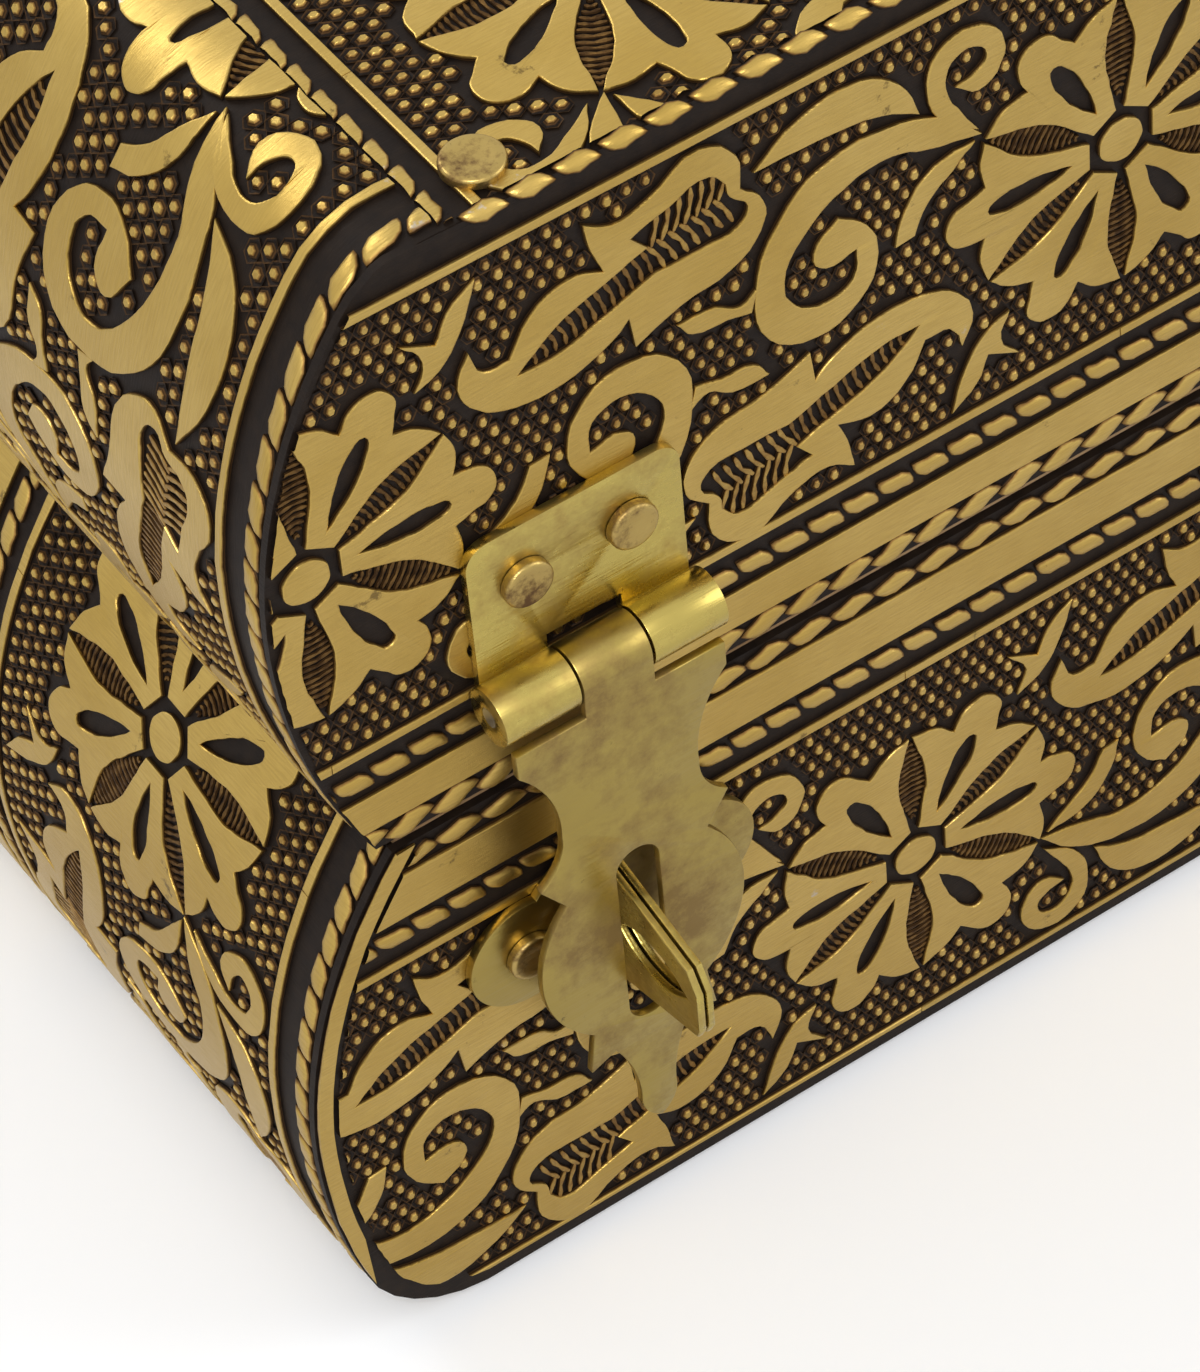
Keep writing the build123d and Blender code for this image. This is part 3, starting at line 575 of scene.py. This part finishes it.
# The left end's two bands, bent over the belly, and the same turned round for the right end
def endSheets(part):
    d, f = case[part], flankOf(part)
    length = f["s3"] + f["cornerX"] - d["edge"]
    off, margin = case["bandOffset"], case["bandOffset"] - pattern["plainFrom"]
    # The flat sheet's axis that runs along the profile: Y for the base, X for the lid
    if part == "base":
        axis, outer = 1, -1
        bands = onSheet((0, 1, 0, -off), (1, 0, 0, 0)), onSheet((0, -1, 0, off), (1, 0, 0, 0))
    else:
        axis, outer = 0, 1
        bands = onSheet((1, 0, 0, 0), (0, -1, 0, -off)), onSheet((1, 0, 0, 0), (0, 1, 0, off))

    def stretch(u):
        split, shift = d["endSplit"], d["endShift"]
        return u + shift if u < split else split + shift + (u - split) * case["endStretch"]

    def bend(p):
        x, z, nx, nz = flankPoint(f, p[axis])
        return (x + nx * p.z, p[1 - axis], z + nz * p.z)

    for name, tile in (("relief", tileRelief), ("beads", tileBeads), ("ground", None)):
        bm = bmesh.new()
        if tile:
            for band in bands:
                layBand(bm, tile, band, -1, 2, stretch, outer)
            if name == "relief":
                low, high = (-margin, -5), (margin, 90)
                strip(bm, low if axis else low[::-1], high if axis else high[::-1])
                cutBands(bm, axis, 1.5, length, case["bendStep"])
            side = case["front"] - case["endInset"]
            trim(bm, axis, 0.15, length - 0.1)
            trim(bm, 1 - axis, -side, side)
        else:
            size, middle = [2 * (case["front"] - 0.65), length], [0, length / 2]
            bmesh.ops.create_grid(bm, x_segments=40, y_segments=40, size=0.5)
            bmesh.ops.scale(bm, vec=(*size[::1 if axis else -1], 1), verts=bm.verts[:])
            bmesh.ops.translate(bm, verts=bm.verts[:], vec=(*middle[::1 if axis else -1], 0))
            thicken(bm)
        finishSheet(bm, bend, pattern["wobble"] if name == "relief" else 0.0)
        sheetPair(bm, part, ("left", "right"), name)
    print(part, "end sheets, length", round(length, 2))


# Strand ends along the lid's long top edges, standing on the rounded fold
def foldRope():
    d, shape = case["lid"], foldRopeShape
    mesh = strandMesh()
    bm = bmesh.new()
    wide = d["edge"] - shape["inset"]
    count = round(2 * wide / shape["pitch"])
    y, z = case["front"] - shape["sink"], d["shutZ"] - shape["sink"]
    for side in (-1, 1):
        tilt = Matrix.Rotation(math.radians(-45 * side), 4, "X")
        for k in range(count):
            fresh = placed(bm, mesh, (0, 0, 0), shape["lean"] * side, (1, shape["narrow"], 1))
            seat = Matrix.Translation((-wide + (k + 0.5) * 2 * wide / count, side * y, z)) @ tilt
            bmesh.ops.transform(bm, matrix=seat, verts=fresh)
    level = bm.verts.layers.float.new("height")
    for v in bm.verts:
        v[level] = (abs(v.co.y) - y + v.co.z - z) / math.sqrt(2) / pattern["strand"][2]
    storeFlat(bm)
    for v in bm.verts:
        v.co *= 0.001
    finished(bm, "lid_fold_rope", 0.7, "embossed", "lid", "embossed_sheet")


# Lays a flat piece on the lid's top
def topPiece(bm, name, jitter, *replaced):
    finishSheet(bm, lambda p: (p.x, p.y, case["lid"]["shutZ"] + p.z), jitter)
    finished(bm, name, 0.7, "embossed", "lid", "embossed_sheet", *replaced)


# Three bands across the lid's top, their flowers in line with the curls at the corners
def topSheet():
    wide, deep = case["lid"]["edge"], case["front"]
    width, edge = case["topBandWidth"], pattern["plainFrom"]
    for name, tile in (("relief", tileRelief), ("beads", tileBeads)):
        relief = name == "relief"
        for number, centre in enumerate(case["topBands"]):
            side = -1 if number == 1 else 1  # the middle band is mirrored
            bm = bmesh.new()
            layBand(bm, tile, onSheet((0, side, 0, centre), (-1, 0, 0, case["topFlowerY"])), -2, 1)
            trim(bm, 0, centre - width / 2, centre + width / 2)
            if relief and number < 2:
                strip(bm, (centre + edge, -70), (centre + width - edge, 70))
            margin = deep - (1.0 if relief else 1.3)
            trim(bm, 0, 0.1 - wide, wide - 0.1)
            trim(bm, 1, -margin, margin)
            topPiece(bm, f"lid_top_{name}_{number}", pattern["wobble"] if relief else 0.0)
    bm = bmesh.new()
    bmesh.ops.create_grid(bm, x_segments=4, y_segments=4, size=0.5)
    bmesh.ops.scale(bm, vec=(2 * wide, 2 * (deep - case["topInset"]), 1), verts=bm.verts[:])
    thicken(bm)
    topPiece(bm, "lid_top_ground", 0.0, "lid_top_sheet")
    print("top sheet")


materials = {}


def newMaterial(name):
    material = bpy.data.materials.new(name)
    material.use_nodes = True
    tree = material.node_tree
    tree.nodes.clear()
    shader = tree.nodes.new("ShaderNodeBsdfPrincipled")
    out = tree.nodes.new("ShaderNodeOutputMaterial")
    tree.links.new(shader.outputs[0], out.inputs[0])
    materials[name] = material
    return tree, shader


# Links or sets one input of a node
def feed(tree, node, key, value):
    socket = node.inputs[key]
    if isinstance(value, bpy.types.NodeSocket):
        tree.links.new(value, socket)
    else:
        socket.default_value = (*value, 1) if socket.type == "RGBA" and len(value) == 3 else value


def addNode(tree, kind, inputs=None, **settings):
    node = tree.nodes.new(kind)
    for key, value in settings.items():
        setattr(node, key, value)
    for key, value in (inputs or {}).items():
        feed(tree, node, key, value)
    return node


def ramp(tree, source, stops):
    node = addNode(tree, "ShaderNodeValToRGB", {"Fac": source})
    elements = node.color_ramp.elements
    while len(elements) < len(stops):
        elements.new(0.5)
    for element, (at, colour) in zip(elements, stops):
        element.position = at
        element.color = (*colour, 1)
    return node.outputs["Color"]


def mixColour(tree, factor, first, second):
    node = addNode(tree, "ShaderNodeMix", data_type="RGBA", blend_type="MIX")
    for key, value in ((0, factor), (6, first), (7, second)):
        feed(tree, node, key, value)
    return node.outputs[2]


def grain(tree, coords, scale, detail=4.0, rough=0.6):
    place = addNode(tree, "ShaderNodeMapping", {"Vector": coords, "Scale": scale}).outputs[0]
    inputs = {"Vector": place, "Scale": 1.0, "Detail": detail, "Roughness": rough}
    return addNode(tree, "ShaderNodeTexNoise", inputs).outputs["Fac"]


def maths(tree, kind, first, second=0.5, third=0.5):
    node = addNode(tree, "ShaderNodeMath", operation=kind)
    for key, value in enumerate((first, second, third)):
        feed(tree, node, key, value)
    return node.outputs[0]


def grey(value):
    return (value, value, value)


def bumpOn(tree, shader, strength, distance, height):
    bump = addNode(tree, "ShaderNodeBump", {"Strength": strength, "Distance": distance, "Height": height})
    feed(tree, shader, "Normal", bump.outputs[0])


# Antiqued embossed sheet: dark ground, a painted brownish highlight up the flanks, bright worn tops, silver-grey rubbed
# patches
def embossedMaterial():
    tree, shader = newMaterial("embossed")
    level = addNode(tree, "ShaderNodeAttribute", attribute_name="height").outputs["Fac"]
    place = addNode(tree, "ShaderNodeTexCoord").outputs["Object"]
    flat = addNode(tree, "ShaderNodeUVMap", uv_map="flat").outputs[0]
    broken = grain(tree, place, (900, 900, 900), 5)
    patch = grain(tree, place, (55, 55, 55), 3)
    brushed = grain(tree, flat, (45, 620, 1), 4)
    scuffs = grain(tree, place, (300, 300, 300), 6, 0.7)
    edge = maths(tree, "ADD", level, maths(tree, "MULTIPLY_ADD", broken, 0.34, -0.17))
    top = ramp(tree, edge, [(0.50, grey(0.0)), (0.68, grey(0.25)), (0.82, grey(1.0))])
    # The gold of the tops, with brushed streaks
    patchy = ramp(tree, patch, [(0.35, grey(0)), (0.7, grey(1))])
    gold = mixColour(tree, patchy, (0.47, 0.312, 0.075), (0.57, 0.40, 0.12))
    streaks = ramp(tree, brushed, [(0.42, grey(0)), (0.62, grey(1))])
    gold = mixColour(tree, maths(tree, "MULTIPLY", streaks, 0.35), gold, (0.36, 0.235, 0.06))
    # Rubbed to grey in patches, a little more on the lid's top
    height = addNode(tree, "ShaderNodeSeparateXYZ", {"Vector": place}).outputs["Z"]
    high = ramp(tree, maths(tree, "MULTIPLY", height, 8.0), [(0.84, grey(0)), (0.90, grey(0.05))])
    wear = maths(tree, "ADD", maths(tree, "MULTIPLY", patch, 0.5), maths(tree, "MULTIPLY", scuffs, 0.5))
    rubbed = ramp(tree, maths(tree, "ADD", high, wear), [(0.655, grey(0)), (0.69, grey(1))])
    gold = mixColour(tree, maths(tree, "MULTIPLY", rubbed, 0.7), gold, (0.53, 0.52, 0.53))
    specks = ramp(tree, scuffs, [(0.29, grey(1)), (0.34, grey(0))])
    gold = mixColour(tree, maths(tree, "MULTIPLY", specks, 0.7), gold, (0.10, 0.06, 0.02))
    # The dark of the ground, and up the flanks a painted highlight: a brownish tint where the rounded edges catch light
    dark = mixColour(tree, broken, (0.003, 0.002, 0.002), (0.020, 0.012, 0.007))
    flankHighlight = ramp(tree, edge, [(0.18, grey(0)), (0.32, grey(0.40)), (0.46, grey(0.1)), (0.66, grey(1))])
    dark = mixColour(tree, flankHighlight, dark, (0.19, 0.092, 0.028))
    feed(tree, shader, "Base Color", mixColour(tree, top, dark, gold))
    feed(tree, shader, "Metallic", ramp(tree, edge, [(0.10, grey(0.0)), (0.5, grey(1.0))]))
    shader.inputs["Specular IOR Level"].default_value = 0.12
    satin = maths(tree, "MULTIPLY_ADD", brushed, 0.22, 0.24)
    feed(tree, shader, "Roughness", maths(tree, "MULTIPLY_ADD", maths(tree, "SUBTRACT", 1.0, top), 0.22, satin))
    bumpOn(tree, shader, 0.25, 0.0002, maths(tree, "ADD", brushed, maths(tree, "MULTIPLY", scuffs, 0.8)))


# Plain sheet metal with tarnish blotches, fine scratches and a little waviness
def metalMaterial(name, colour, second, tarnish, amount, rough, scale=1.0, speck=0.5):
    tree, shader = newMaterial(name)
    place = addNode(tree, "ShaderNodeTexCoord").outputs["Object"]
    broad = grain(tree, place, tuple([120 * scale] * 3), 4)
    fine = grain(tree, place, tuple([900 * scale] * 3), 6, 0.7)
    scratch = grain(tree, place, (240 * scale, 240 * scale, 4200 * scale), 2)
    base = mixColour(tree, broad, colour, second)
    spread = maths(tree, "ADD", maths(tree, "MULTIPLY", broad, 0.65), maths(tree, "MULTIPLY", fine, 0.35))
    blot = ramp(tree, spread, [(0.47, grey(0)), (0.60, grey(amount))])
    base = mixColour(tree, blot, base, tarnish)
    dots = ramp(tree, fine, [(0.28, grey(speck)), (0.34, grey(0))])
    base = mixColour(tree, dots, base, tuple(c * 0.35 for c in tarnish))
    feed(tree, shader, "Base Color", base)
    shader.inputs["Metallic"].default_value = 1.0
    dull = maths(tree, "MULTIPLY_ADD", scratch, 0.12, rough)
    feed(tree, shader, "Roughness", maths(tree, "MULTIPLY_ADD", blot, 0.3, dull))
    bumpOn(tree, shader, 0.18, 0.0002, maths(tree, "ADD", scratch, maths(tree, "MULTIPLY", broad, 2.0)))


def clothMaterial(name, colour, deep, sheen):
    tree, shader = newMaterial(name)
    place = addNode(tree, "ShaderNodeTexCoord").outputs["Object"]
    pile = grain(tree, place, (2600, 2600, 2600), 3)
    base = mixColour(tree, grain(tree, place, (60, 60, 60), 4), deep, colour)
    base = mixColour(tree, maths(tree, "MULTIPLY", pile, 0.45), base, tuple(c * 0.4 for c in deep))
    feed(tree, shader, "Base Color", base)
    shader.inputs["Roughness"].default_value = 0.95
    shader.inputs["Sheen Weight"].default_value = sheen
    shader.inputs["Sheen Roughness"].default_value = 0.4
    shader.inputs["Sheen Tint"].default_value = (*(min(1, c * 3 + 0.1) for c in colour), 1)
    bumpOn(tree, shader, 0.5, 0.0004, pile)


def woodMaterial():
    tree, shader = newMaterial("wood")
    place = addNode(tree, "ShaderNodeTexCoord").outputs["Object"]
    rings = grain(tree, place, (14, 160, 160), 5, 0.6)
    pores = grain(tree, place, (120, 1900, 1900), 4)
    base = ramp(tree, rings, [(0.3, (0.33, 0.19, 0.09)), (0.55, (0.47, 0.30, 0.155)), (0.75, (0.56, 0.38, 0.21))])
    base = mixColour(tree, ramp(tree, pores, [(0.3, grey(0.5)), (0.42, grey(0))]), base, (0.17, 0.09, 0.04))
    feed(tree, shader, "Base Color", base)
    feed(tree, shader, "Roughness", maths(tree, "MULTIPLY_ADD", pores, 0.2, 0.5))
    bumpOn(tree, shader, 0.3, 0.0003, pores)


def mirrorMaterial():
    tree, shader = newMaterial("mirror")
    place = addNode(tree, "ShaderNodeTexCoord").outputs["Object"]
    dust = grain(tree, place, (700, 700, 700), 5)
    feed(tree, shader, "Base Color", mixColour(tree, dust, (0.80, 0.83, 0.82), (0.88, 0.90, 0.90)))
    shader.inputs["Metallic"].default_value = 1.0
    feed(tree, shader, "Roughness", maths(tree, "MULTIPLY_ADD", dust, 0.05, 0.01))


embossedMaterial()
metalMaterial("brass", (0.46, 0.35, 0.085), (0.56, 0.45, 0.135), (0.30, 0.19, 0.06), 0.6, 0.2, 0.8)
metalMaterial("brassAged", (0.31, 0.22, 0.055), (0.47, 0.365, 0.105), (0.23, 0.150, 0.055), 0.9, 0.25, 0.5, 0.8)
metalMaterial("nailBrass", (0.50, 0.37, 0.12), (0.36, 0.235, 0.075), (0.12, 0.065, 0.028), 1.0, 0.26, 2.0, 0.8)
metalMaterial("steel", (0.55, 0.55, 0.56), (0.48, 0.47, 0.46), (0.20, 0.15, 0.11), 0.5, 0.26)
metalMaterial("zinc", (0.42, 0.43, 0.45), (0.50, 0.51, 0.53), (0.30, 0.30, 0.31), 0.4, 0.38)
metalMaterial("nickel", (0.62, 0.61, 0.58), (0.56, 0.55, 0.52), (0.30, 0.27, 0.22), 0.4, 0.18)
clothMaterial("velvet", (0.24, 0.012, 0.022), (0.13, 0.006, 0.012), 0.22)
clothMaterial("felt", (0.028, 0.026, 0.028), (0.016, 0.015, 0.016), 0.2)
clothMaterial("plastic", (0.05, 0.05, 0.055), (0.035, 0.035, 0.04), 0.0)
woodMaterial()
mirrorMaterial()

finishes = {
    "embossed_sheet": "embossed", "case_wood": "wood", "hasp_brass": "brass", "nail_brass": "nailBrass",
    "tack_steel": "nailBrass", "pin_steel": "steel", "velvet": "velvet", "felt": "felt", "mirror_glass": "mirror",
    "movement_steel": "steel", "bedplate_zinc": "zinc", "movement_brass": "brass", "key_nickel": "nickel",
    "fly_plastic": "plastic",
}
for entry in frame["record"]["subparts"]:
    mesh = nodes[entry["node"]].data
    mesh.materials.clear()
    mesh.materials.append(materials[finishes[entry["material_slot"]]])

latch = {
    "edge": 0.12,  # rounding of the sheet brass
    "staple": {"x": 72.8, "thickness": 1.4, "ply": 0.6, "root": -58.8, "tip": -71.8, "rootZ": (30.5, 44.0),
               "tipZ": (33.9, 41.0), "hole": (-65.7, 37.5), "holeSize": (9.0, 3.6)},
    "headThickness": 0.85,
}


# A CAD node's shape, joined along its edges
def nodeShape(node):
    bm = bmesh.new()
    bm.from_mesh(nodes[node].data)
    bmesh.ops.remove_doubles(bm, verts=bm.verts[:], dist=1e-6)
    return bm


def roundEdges(bm, edge, segments):
    bmesh.ops.dissolve_limit(bm, angle_limit=0.02, verts=bm.verts[:], edges=bm.edges[:])
    sharp = [e for e in bm.edges if len(e.link_faces) == 2 and e.calc_face_angle(0) > 0.6]
    bmesh.ops.bevel(bm, geom=sharp, offset=edge * 0.001, segments=segments, profile=0.5, affect="EDGES", material=-1,
                    clamp_overlap=True)


# A piece made from a CAD node's own shape with its edges rounded
def softened(node, body, slotName, finish, edge):
    bm = nodeShape(node)
    reach = max(v.co.length for v in bm.verts)
    roundEdges(bm, edge, 2)
    if max(v.co.length for v in bm.verts) >= reach + 1e-4:
        print(node, "keeps its plain edges")
        bm.free()
        bm = bmesh.new()
        bm.from_mesh(nodes[node].data)
    finished(bm, node + "_detail", 0.6, finish, body, slotName, node)


# The staple as two flat layers, standing in for a strip folded double, with a lens opening through both layers
def stapleLayers(side):
    d = latch["staple"]
    root, tip, (rootLow, rootHigh), (tipLow, tipHigh) = d["root"], d["tip"], d["rootZ"], d["tipZ"]
    outline = [(root, rootLow, 1), (tip + 0.5, tipLow, 1), (tip, tipLow + 1.0, 1), (tip, tipHigh - 2.0, 1),
               (tip + 1.2, tipHigh, 1), (root, rootHigh, 1)]
    (y, z), (long, wide) = d["hole"], d["holeSize"]
    lens = [(y - long / 2, z, 1), (y - long / 4, z + wide * 0.40), (y, z + wide / 2), (y + long / 4, z + wide * 0.40),
            (y + long / 2, z, 1), (y + long / 4, z - wide * 0.40), (y, z - wide / 2), (y - long / 4, z - wide * 0.40)]
    bm = bmesh.new()
    for layer in (-1, 1):
        mesh = curveShape("staple", [outline, lens], d["ply"] / 2, 0.16, 6)
        placed(bm, mesh, (0, 0, layer * (d["thickness"] / 2 - d["ply"] / 2)))
    for v in bm.verts:
        v.co = Vector((side * d["x"] + v.co.z, v.co.x, v.co.y)) * 0.001
    bmesh.ops.recalc_face_normals(bm, faces=bm.faces[:])
    name = "left" if side < 0 else "right"
    finished(bm, f"staple_{name}_folded", 0.6, "brass", "base", "hasp_brass", f"staple_{name}")


# Low and high corners of each separate solid in a CAD node
def solidsOf(node):
    bm = nodeShape(node)
    left = set(bm.verts)
    corners = []
    while left:
        group = [left.pop()]
        for v in group:
            for e in v.link_edges:
                other = e.other_vert(v)
                if other in left:
                    left.remove(other)
                    group.append(other)
        corners.append([Vector([end(v.co[i] for v in group) for i in range(3)]) for end in (min, max)])
    bm.free()
    return corners


# Low domed heads with a rolled rim on plain shanks, where the CAD nails stand
def nailHeads(node, body, slotName, out):
    out = Vector(out)
    aim = out.to_track_quat("Z", "Y").to_matrix().to_4x4()
    thick = latch["headThickness"] * 0.001
    bm = bmesh.new()
    for low, high in solidsOf(node):
        middle, half = (low + high) / 2, (high - low) / 2
        axis = max(range(3), key=lambda i: abs(out[i]))
        radius, reach = max(half[i] for i in range(3) if i != axis), half[axis]
        nail = bmesh.new()
        bmesh.ops.create_cone(nail, cap_ends=True, segments=32, radius1=radius, radius2=radius, depth=thick)
        rim = [e for e in nail.edges if all(v.co.z > 0 for v in e.verts)]
        bmesh.ops.bevel(nail, geom=rim, offset=thick * 0.38, segments=3, profile=0.5, affect="EDGES", material=-1)
        top = [max(nail.faces, key=lambda f: f.calc_center_median().z)]
        bmesh.ops.inset_region(nail, faces=top, thickness=radius * 0.25, depth=-thick * 0.10, use_boundary=True,
                               use_even_offset=True)
        bmesh.ops.translate(nail, verts=nail.verts[:], vec=(0, 0, reach - thick / 2))
        shank = bmesh.ops.create_cone(nail, cap_ends=True, segments=12, radius1=radius * 0.12, radius2=radius * 0.34,
                                      depth=2 * reach - thick)
        bmesh.ops.translate(nail, verts=shank["verts"], vec=(0, 0, -thick / 2))
        bmesh.ops.transform(nail, matrix=Matrix.Translation(middle) @ aim, verts=nail.verts[:])
        joinTo(bm, nail)
    finished(bm, node + "_domed", 0.6, "nailBrass", body, slotName, node)


def latchPieces():
    for name, side in (("left", -1), ("right", 1)):
        for piece, body, finish in (("hasp_leaf", "lid", "brass"), ("hasp_flap", f"hasp_{name}", "brassAged"),
                                    ("staple_plate", "base", "brassAged"), ("hinge_base_leaf", "base", "brass"),
                                    ("hinge_lid_leaf", "lid", "brass")):
            softened(f"{piece}_{name}", body, "hasp_brass", finish, latch["edge"])
        stapleLayers(side)
    for node, body, slotName, out in (
            ("hasp_leaf_nails", "lid", "nail_brass", (0, -1, 0)), ("staple_nails", "base", "nail_brass", (0, -1, 0)),
            ("hinge_lid_nails", "lid", "nail_brass", (0, 1, 0)), ("hinge_base_nails", "base", "nail_brass", (0, 1, 0)),
            ("lid_top_nails", "lid", "tack_steel", (0, 0, 1)), ("base_tacks", "base", "tack_steel", (0, 0, -1))):
        nailHeads(node, body, slotName, out)
    print("latches")


padding = {
    "boardEdge": 0.45,
    "unevenness": 0.12,  # of the velvet over its boards
    "rollWidth": 9.0,
    "rollEnd": 2.6,  # length of a roll's rounded end
    "endSize": 0.55,
    "rollWave": 0.16,
    "padCrown": 0.35,
    "padWave": 0.06,
}


# Velvet pulled over thin boards: soft rounded edges and a slightly uneven face
def velvetBoards():
    for node, body in (("base_lining", "base"), ("lid_lining", "lid"), ("cross_partition", "base"),
                       ("long_divider", "base"), ("movement_cover", "base")):
        bm = nodeShape(node)
        roundEdges(bm, padding["boardEdge"], 3)
        for axis in range(3):
            low, high = min(v.co[axis] for v in bm.verts), max(v.co[axis] for v in bm.verts)
            if high - low > 0.02:
                cutBands(bm, axis, low + 0.004, high - 0.002, 0.006)
        bmesh.ops.recalc_face_normals(bm, faces=bm.faces[:])
        bm.normal_update()
        uneven = padding["unevenness"] * 0.001
        shifts = {v: v.normal * (noise.noise(v.co * 120) - 0.6) * uneven for v in bm.verts}
        for v, shift in shifts.items():
            v.co += shift
        finished(bm, node + "_velvet", 0.9, "velvet", body, "velvet", node)
    print("velvet boards")


# Padded rolls side by side, round on top and closed at the ends, pressed together at their feet
def ringRolls():
    end = padding["rollEnd"] * 0.001
    bm = bmesh.new()
    for low, high in solidsOf("ring_rolls"):
        middle, half = (low + high) / 2, (high - low) / 2
        count = max(1, round(2 * half.y / (padding["rollWidth"] * 0.001)))
        width, top = 2 * half.y / count, half.z * 2
        for k in range(count):
            centre = low.y + (k + 0.5) * width
            roll = bmesh.new()
            bmesh.ops.create_cone(roll, cap_ends=True, segments=36, radius1=1, radius2=1, depth=2)
            cap = [f for f in roll.faces if len(f.verts) > 4]
            for size in (0.3, 0.3):
                bmesh.ops.inset_region(roll, faces=cap, thickness=size, depth=0, use_boundary=True,
                                       use_even_offset=True)
            cutBands(roll, 2, -0.985, 1.0, 0.0465)
            for v in roll.verts:
                x, y, z = v.co.z, v.co.x, v.co.y
                inward = half.x * (1 - abs(x))
                # How full the roll is here: it draws in towards its ends
                full = math.sqrt(max(0.0, 1 - max(0.0, 1 - inward / end) ** 2)) if inward < end else 1.0
                full = max(full, padding["endSize"]) if abs(x) < 0.9999 else padding["endSize"]
                side = max(-1, min(1, y * 1.12)) * width / 2 * (0.99 if z > -0.4 else 0.96)
                side *= (0.75 + 0.25 * full) * min(1, math.hypot(y, z) + 0.001)
                rise = z if z > 0 else max(-1, z * 1.6)
                lift = top - width / 2 + rise * width / 2 if rise > 0 else (top - width / 2) * (1 + rise)
                wave = padding["rollWave"] * 0.001 * noise.noise(Vector((x * 9, k * 3.1, y * 2))) * (rise > 0)
                v.co = (middle.x + x * half.x, centre + side, low.z + lift * (0.93 + 0.07 * full) + wave)
            bmesh.ops.recalc_face_normals(roll, faces=roll.faces[:])
            joinTo(bm, roll)
    rolls = finished(bm, "ring_rolls_padded", 1.0, "velvet", "base", "velvet", "ring_rolls")
    print("ring rolls")


# A thin pad with a crowned top
def flatPad(node, name, finish, crown, cuts):
    bm = bmesh.new()
    for low, high in solidsOf(node):
        middle, half = (low + high) / 2, (high - low) / 2
        pad = bmesh.new()
        bmesh.ops.create_cube(pad, size=2)
        bmesh.ops.subdivide_edges(pad, edges=pad.edges[:], cuts=cuts, use_grid_fill=True)
        for v in pad.verts:
            x, y, z = v.co
            swell = (1 - abs(x) ** 14) * (1 - abs(y) ** 10)
            lift = crown * 0.001 * (swell - 0.75) if z > 0 else 0.0
            v.co = (middle.x + x * half.x, middle.y + y * half.y, middle.z + z * half.z + lift * z)
            if v.co.z > middle.z:
                v.co.z += padding["padWave"] * 0.001 * noise.noise(v.co * 160)
        bmesh.ops.recalc_face_normals(pad, faces=pad.faces[:])
        joinTo(bm, pad)
    thing = finished(bm, name, 0.9, finish, "base", finish, node)


tileRelief, tileBeads = patternTile()
latchPieces()
velvetBoards()
ringRolls()
flatPad("floor_pad", "floor_pad_soft", "velvet", padding["padCrown"], 30)
flatPad("base_felt", "base_felt_soft", "felt", 0.0, 20)
softened("mirror", "lid", "mirror_glass", "mirror", 0.8)
for part in ("base", "lid"):
    frontSheets(part)
    endSheets(part)
topSheet()
foldRope()

bm = bmesh.new()
bmesh.ops.create_grid(bm, x_segments=2, y_segments=2, size=3.0)
floor = newObject("floor", toMesh(bm, "floor"))
floor.location.z = -0.0001
tree, shader = newMaterial("floorPale")
rays = addNode(tree, "ShaderNodeLightPath")
pale = mixColour(tree, rays.outputs["Is Camera Ray"], (0.80, 0.80, 0.82), (0.97, 0.98, 1.0))
feed(tree, shader, "Base Color", pale)
shader.inputs["Roughness"].default_value = 0.9
floor.data.materials.append(materials["floorPale"])

world = bpy.data.worlds.new("studio")
scene.world = world
world.use_nodes = True
tree = world.node_tree
tree.nodes.clear()
rays = addNode(tree, "ShaderNodeLightPath").outputs
through = maths(tree, "ADD", rays["Is Glossy Ray"], rays["Is Transmission Ray"])
seen = maths(tree, "MINIMUM", maths(tree, "ADD", rays["Is Camera Ray"], through), 1.0)
strength = maths(tree, "MULTIPLY_ADD", seen, 0.45, 0.55)
glow = addNode(tree, "ShaderNodeBackground", {"Color": (1, 1, 1, 1), "Strength": strength})
tree.links.new(glow.outputs[0], tree.nodes.new("ShaderNodeOutputWorld").inputs[0])


def softLamp(name, place, target, size, power):
    data = bpy.data.lights.new(name, "AREA")
    data.shape = "DISK"
    data.size = size
    data.energy = power
    lamp = newObject(name, data)
    lamp.location = place
    lamp.rotation_euler = (Vector(target) - Vector(place)).to_track_quat("-Z", "Y").to_euler()


softLamp("keyLamp", (-0.55, -0.75, 0.95), (0, 0, 0.05), 0.55, 9)
softLamp("fillLamp", (0.9, -0.7, 0.6), (0, 0, 0.05), 0.8, 4)
softLamp("rimLamp", (-0.3, 0.9, 0.9), (0, 0, 0.05), 0.6, 4)

# The photograph's view
view = {
    "place": (-0.22277, -0.31926, 0.39701),
    "right": Vector((0.82177, -0.56569, -0.06851)),
    "forward": Vector((0.33516, 0.57708, -0.74474)),
    "lens": 163.3,
}
camera = bpy.data.cameras.new("photoCamera")
camera.lens = view["lens"]
camera.clip_start, camera.clip_end = 0.01, 20
holder = newObject("photoCamera", camera)
turn = Matrix((view["right"], view["right"].cross(view["forward"]), -view["forward"])).transposed().to_4x4()
holder.matrix_world = Matrix.Translation(view["place"]) @ turn
scene.camera = holder
scene.view_settings.view_transform = "Standard"
